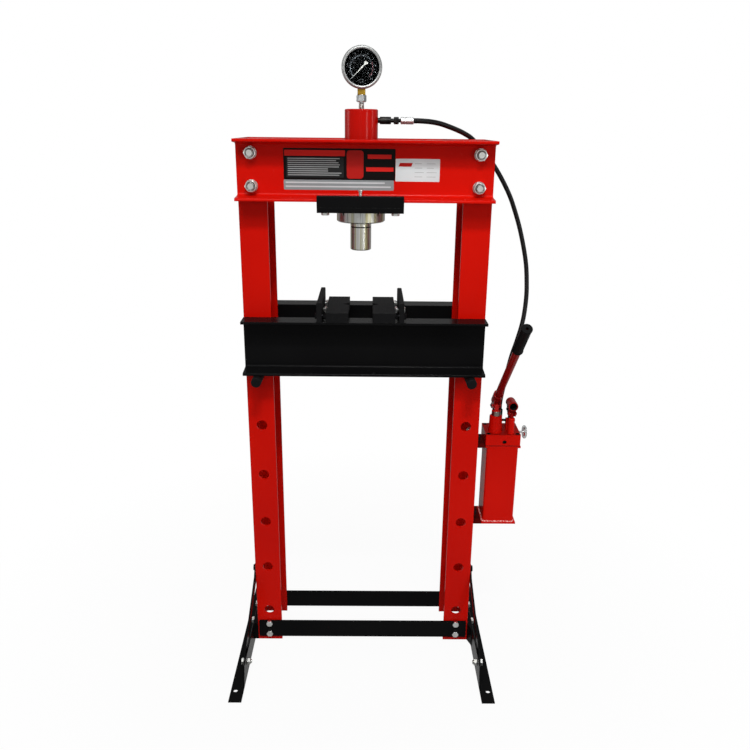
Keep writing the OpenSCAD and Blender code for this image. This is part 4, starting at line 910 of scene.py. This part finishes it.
def makeRules():
    for name, (place, finish, sizes) in ruled.items():
        pattern = rulePattern(name, finish)
        pattern.make(name, points(name + "Start"), "frame", None, place=Matrix.Translation(place), **sizes)
    print("rules drawn:", len(ruled))


makeRules()

# light, floor and background
lamps = {
    "key": {"place": (0.22, -2.35, 4.4), "aim": (0, 0, 0.7), "size": (0.8, 0.35), "power": 82},
    "fill": {"place": (-0.5, -2.9, 4.0), "aim": (0, 0, 0.3), "size": (2.0, 1.2), "power": 60},
    "stripNear": {"place": (1.66, -2.02, 1.50), "aim": (0, 0, 1.5), "size": (0.12, 0.9), "power": 10},
    "stripSide": {"place": (2.4, -0.25, 1.5), "aim": (0, 0, 1.45), "size": (0.14, 1.4), "power": 9},
    "left": {"place": (-2.7, 0.5, 1.5), "aim": (0, 0, 1.0), "size": (0.9, 1.4), "power": 14},
    "back": {"place": (0.7, 1.9, 4.6), "aim": (0, 0, 1.0), "size": (0.9, 0.6), "power": 10},
    "far": {"place": (-0.3, -5.0, 2.7), "aim": (0, 0, 0.5), "size": (1.4, 0.9), "power": 15},
}
white = (1, 1, 1, 1)
backdrop = {"sky": 0.22, "front": 0.52, "behind": 0.36, "turning": (-0.75, 0.05)}  # the last in the sky's own Y
ground = {"corners": [(-9, -1.4, 0), (9, -1.4, 0), (9, 14, 0), (-9, 14, 0)], "dark": (0.56, 0.56, 0.56),
          "light": (0.60, 0.60, 0.60), "glow": 0.95, "fade": (0.5, 1.5), "turning": (-0.1, 0.8)}


def makeLamps():
    for name, lamp in lamps.items():
        data = bpy.data.lights.new(name, "AREA")
        data.shape, data.energy = "RECTANGLE", lamp["power"]
        data.size, data.size_y = lamp["size"]
        placed = bpy.data.objects.new(name, data)
        placed.location = lamp["place"]
        toward = Vector(lamp["aim"]) - Vector(lamp["place"])
        placed.rotation_euler = toward.to_track_quat("-Z", "Y").to_euler()
        scene.collection.objects.link(placed)
    print("lamps hung:", len(lamps))


def makeBackdrop():  # plain white to the eye, paler to the front than behind in gloss
    world = bpy.data.worlds.new("studio")
    world.use_nodes = True
    scene.world = world
    w = Recipe(world.node_tree)
    toward = w.apart(w.add("ShaderNodeTexCoord", take="Generated"))
    behind = w.span(toward[1], *backdrop["turning"], backdrop["front"], backdrop["behind"], "SMOOTHSTEP")
    seen, glossy = w.rays()
    sky, mirrored, plain = (w.add("ShaderNodeBackground", {}, {"Color": white, "Strength": strength})
                            for strength in (backdrop["sky"], behind, 1.0))
    shown = w.add("ShaderNodeMixShader", {}, {0: glossy, 1: sky, 2: mirrored})
    shown = w.add("ShaderNodeMixShader", {}, {0: seen, 1: shown, 2: plain})
    w.add("ShaderNodeOutputWorld", {}, {"Surface": shown})


def makeFloor():  # mostly white to the eye, with the object's faint shadow near it
    mesh = bpy.data.meshes.new("floor")
    mesh.from_pydata(ground["corners"], [], [(0, 1, 2, 3)])
    floor = bpy.data.objects.new("floor", mesh)
    scene.collection.objects.link(floor)
    f = Finish("paleFloor")
    grain = f.mix(f.noise(40, 3.0), ground["dark"], ground["light"])
    paper = f.add("ShaderNodeBsdfDiffuse", {}, {"Color": grain})
    seen, glossy = f.rays()
    away = f.span((f.x * f.x + f.y * f.y).root(), *ground["fade"])
    near = f.span(f.y, *ground["turning"], backdrop["front"], backdrop["behind"])
    mirrored, glow = (f.add("ShaderNodeEmission", {}, {"Color": white, "Strength": strength})
                      for strength in (near, 1.0))
    shown = f.add("ShaderNodeMixShader", {}, {0: glossy, 1: paper, 2: mirrored})
    lit = seen * (away * (1.0 - ground["glow"]) + ground["glow"])
    shown = f.add("ShaderNodeMixShader", {}, {0: lit, 1: shown, 2: glow})
    f.add("ShaderNodeOutputMaterial", {}, {"Surface": shown})
    mesh.materials.append(f.material)


makeLamps()
makeBackdrop()
makeFloor()
scene.view_settings.view_transform = "Standard"
print("studio lit")
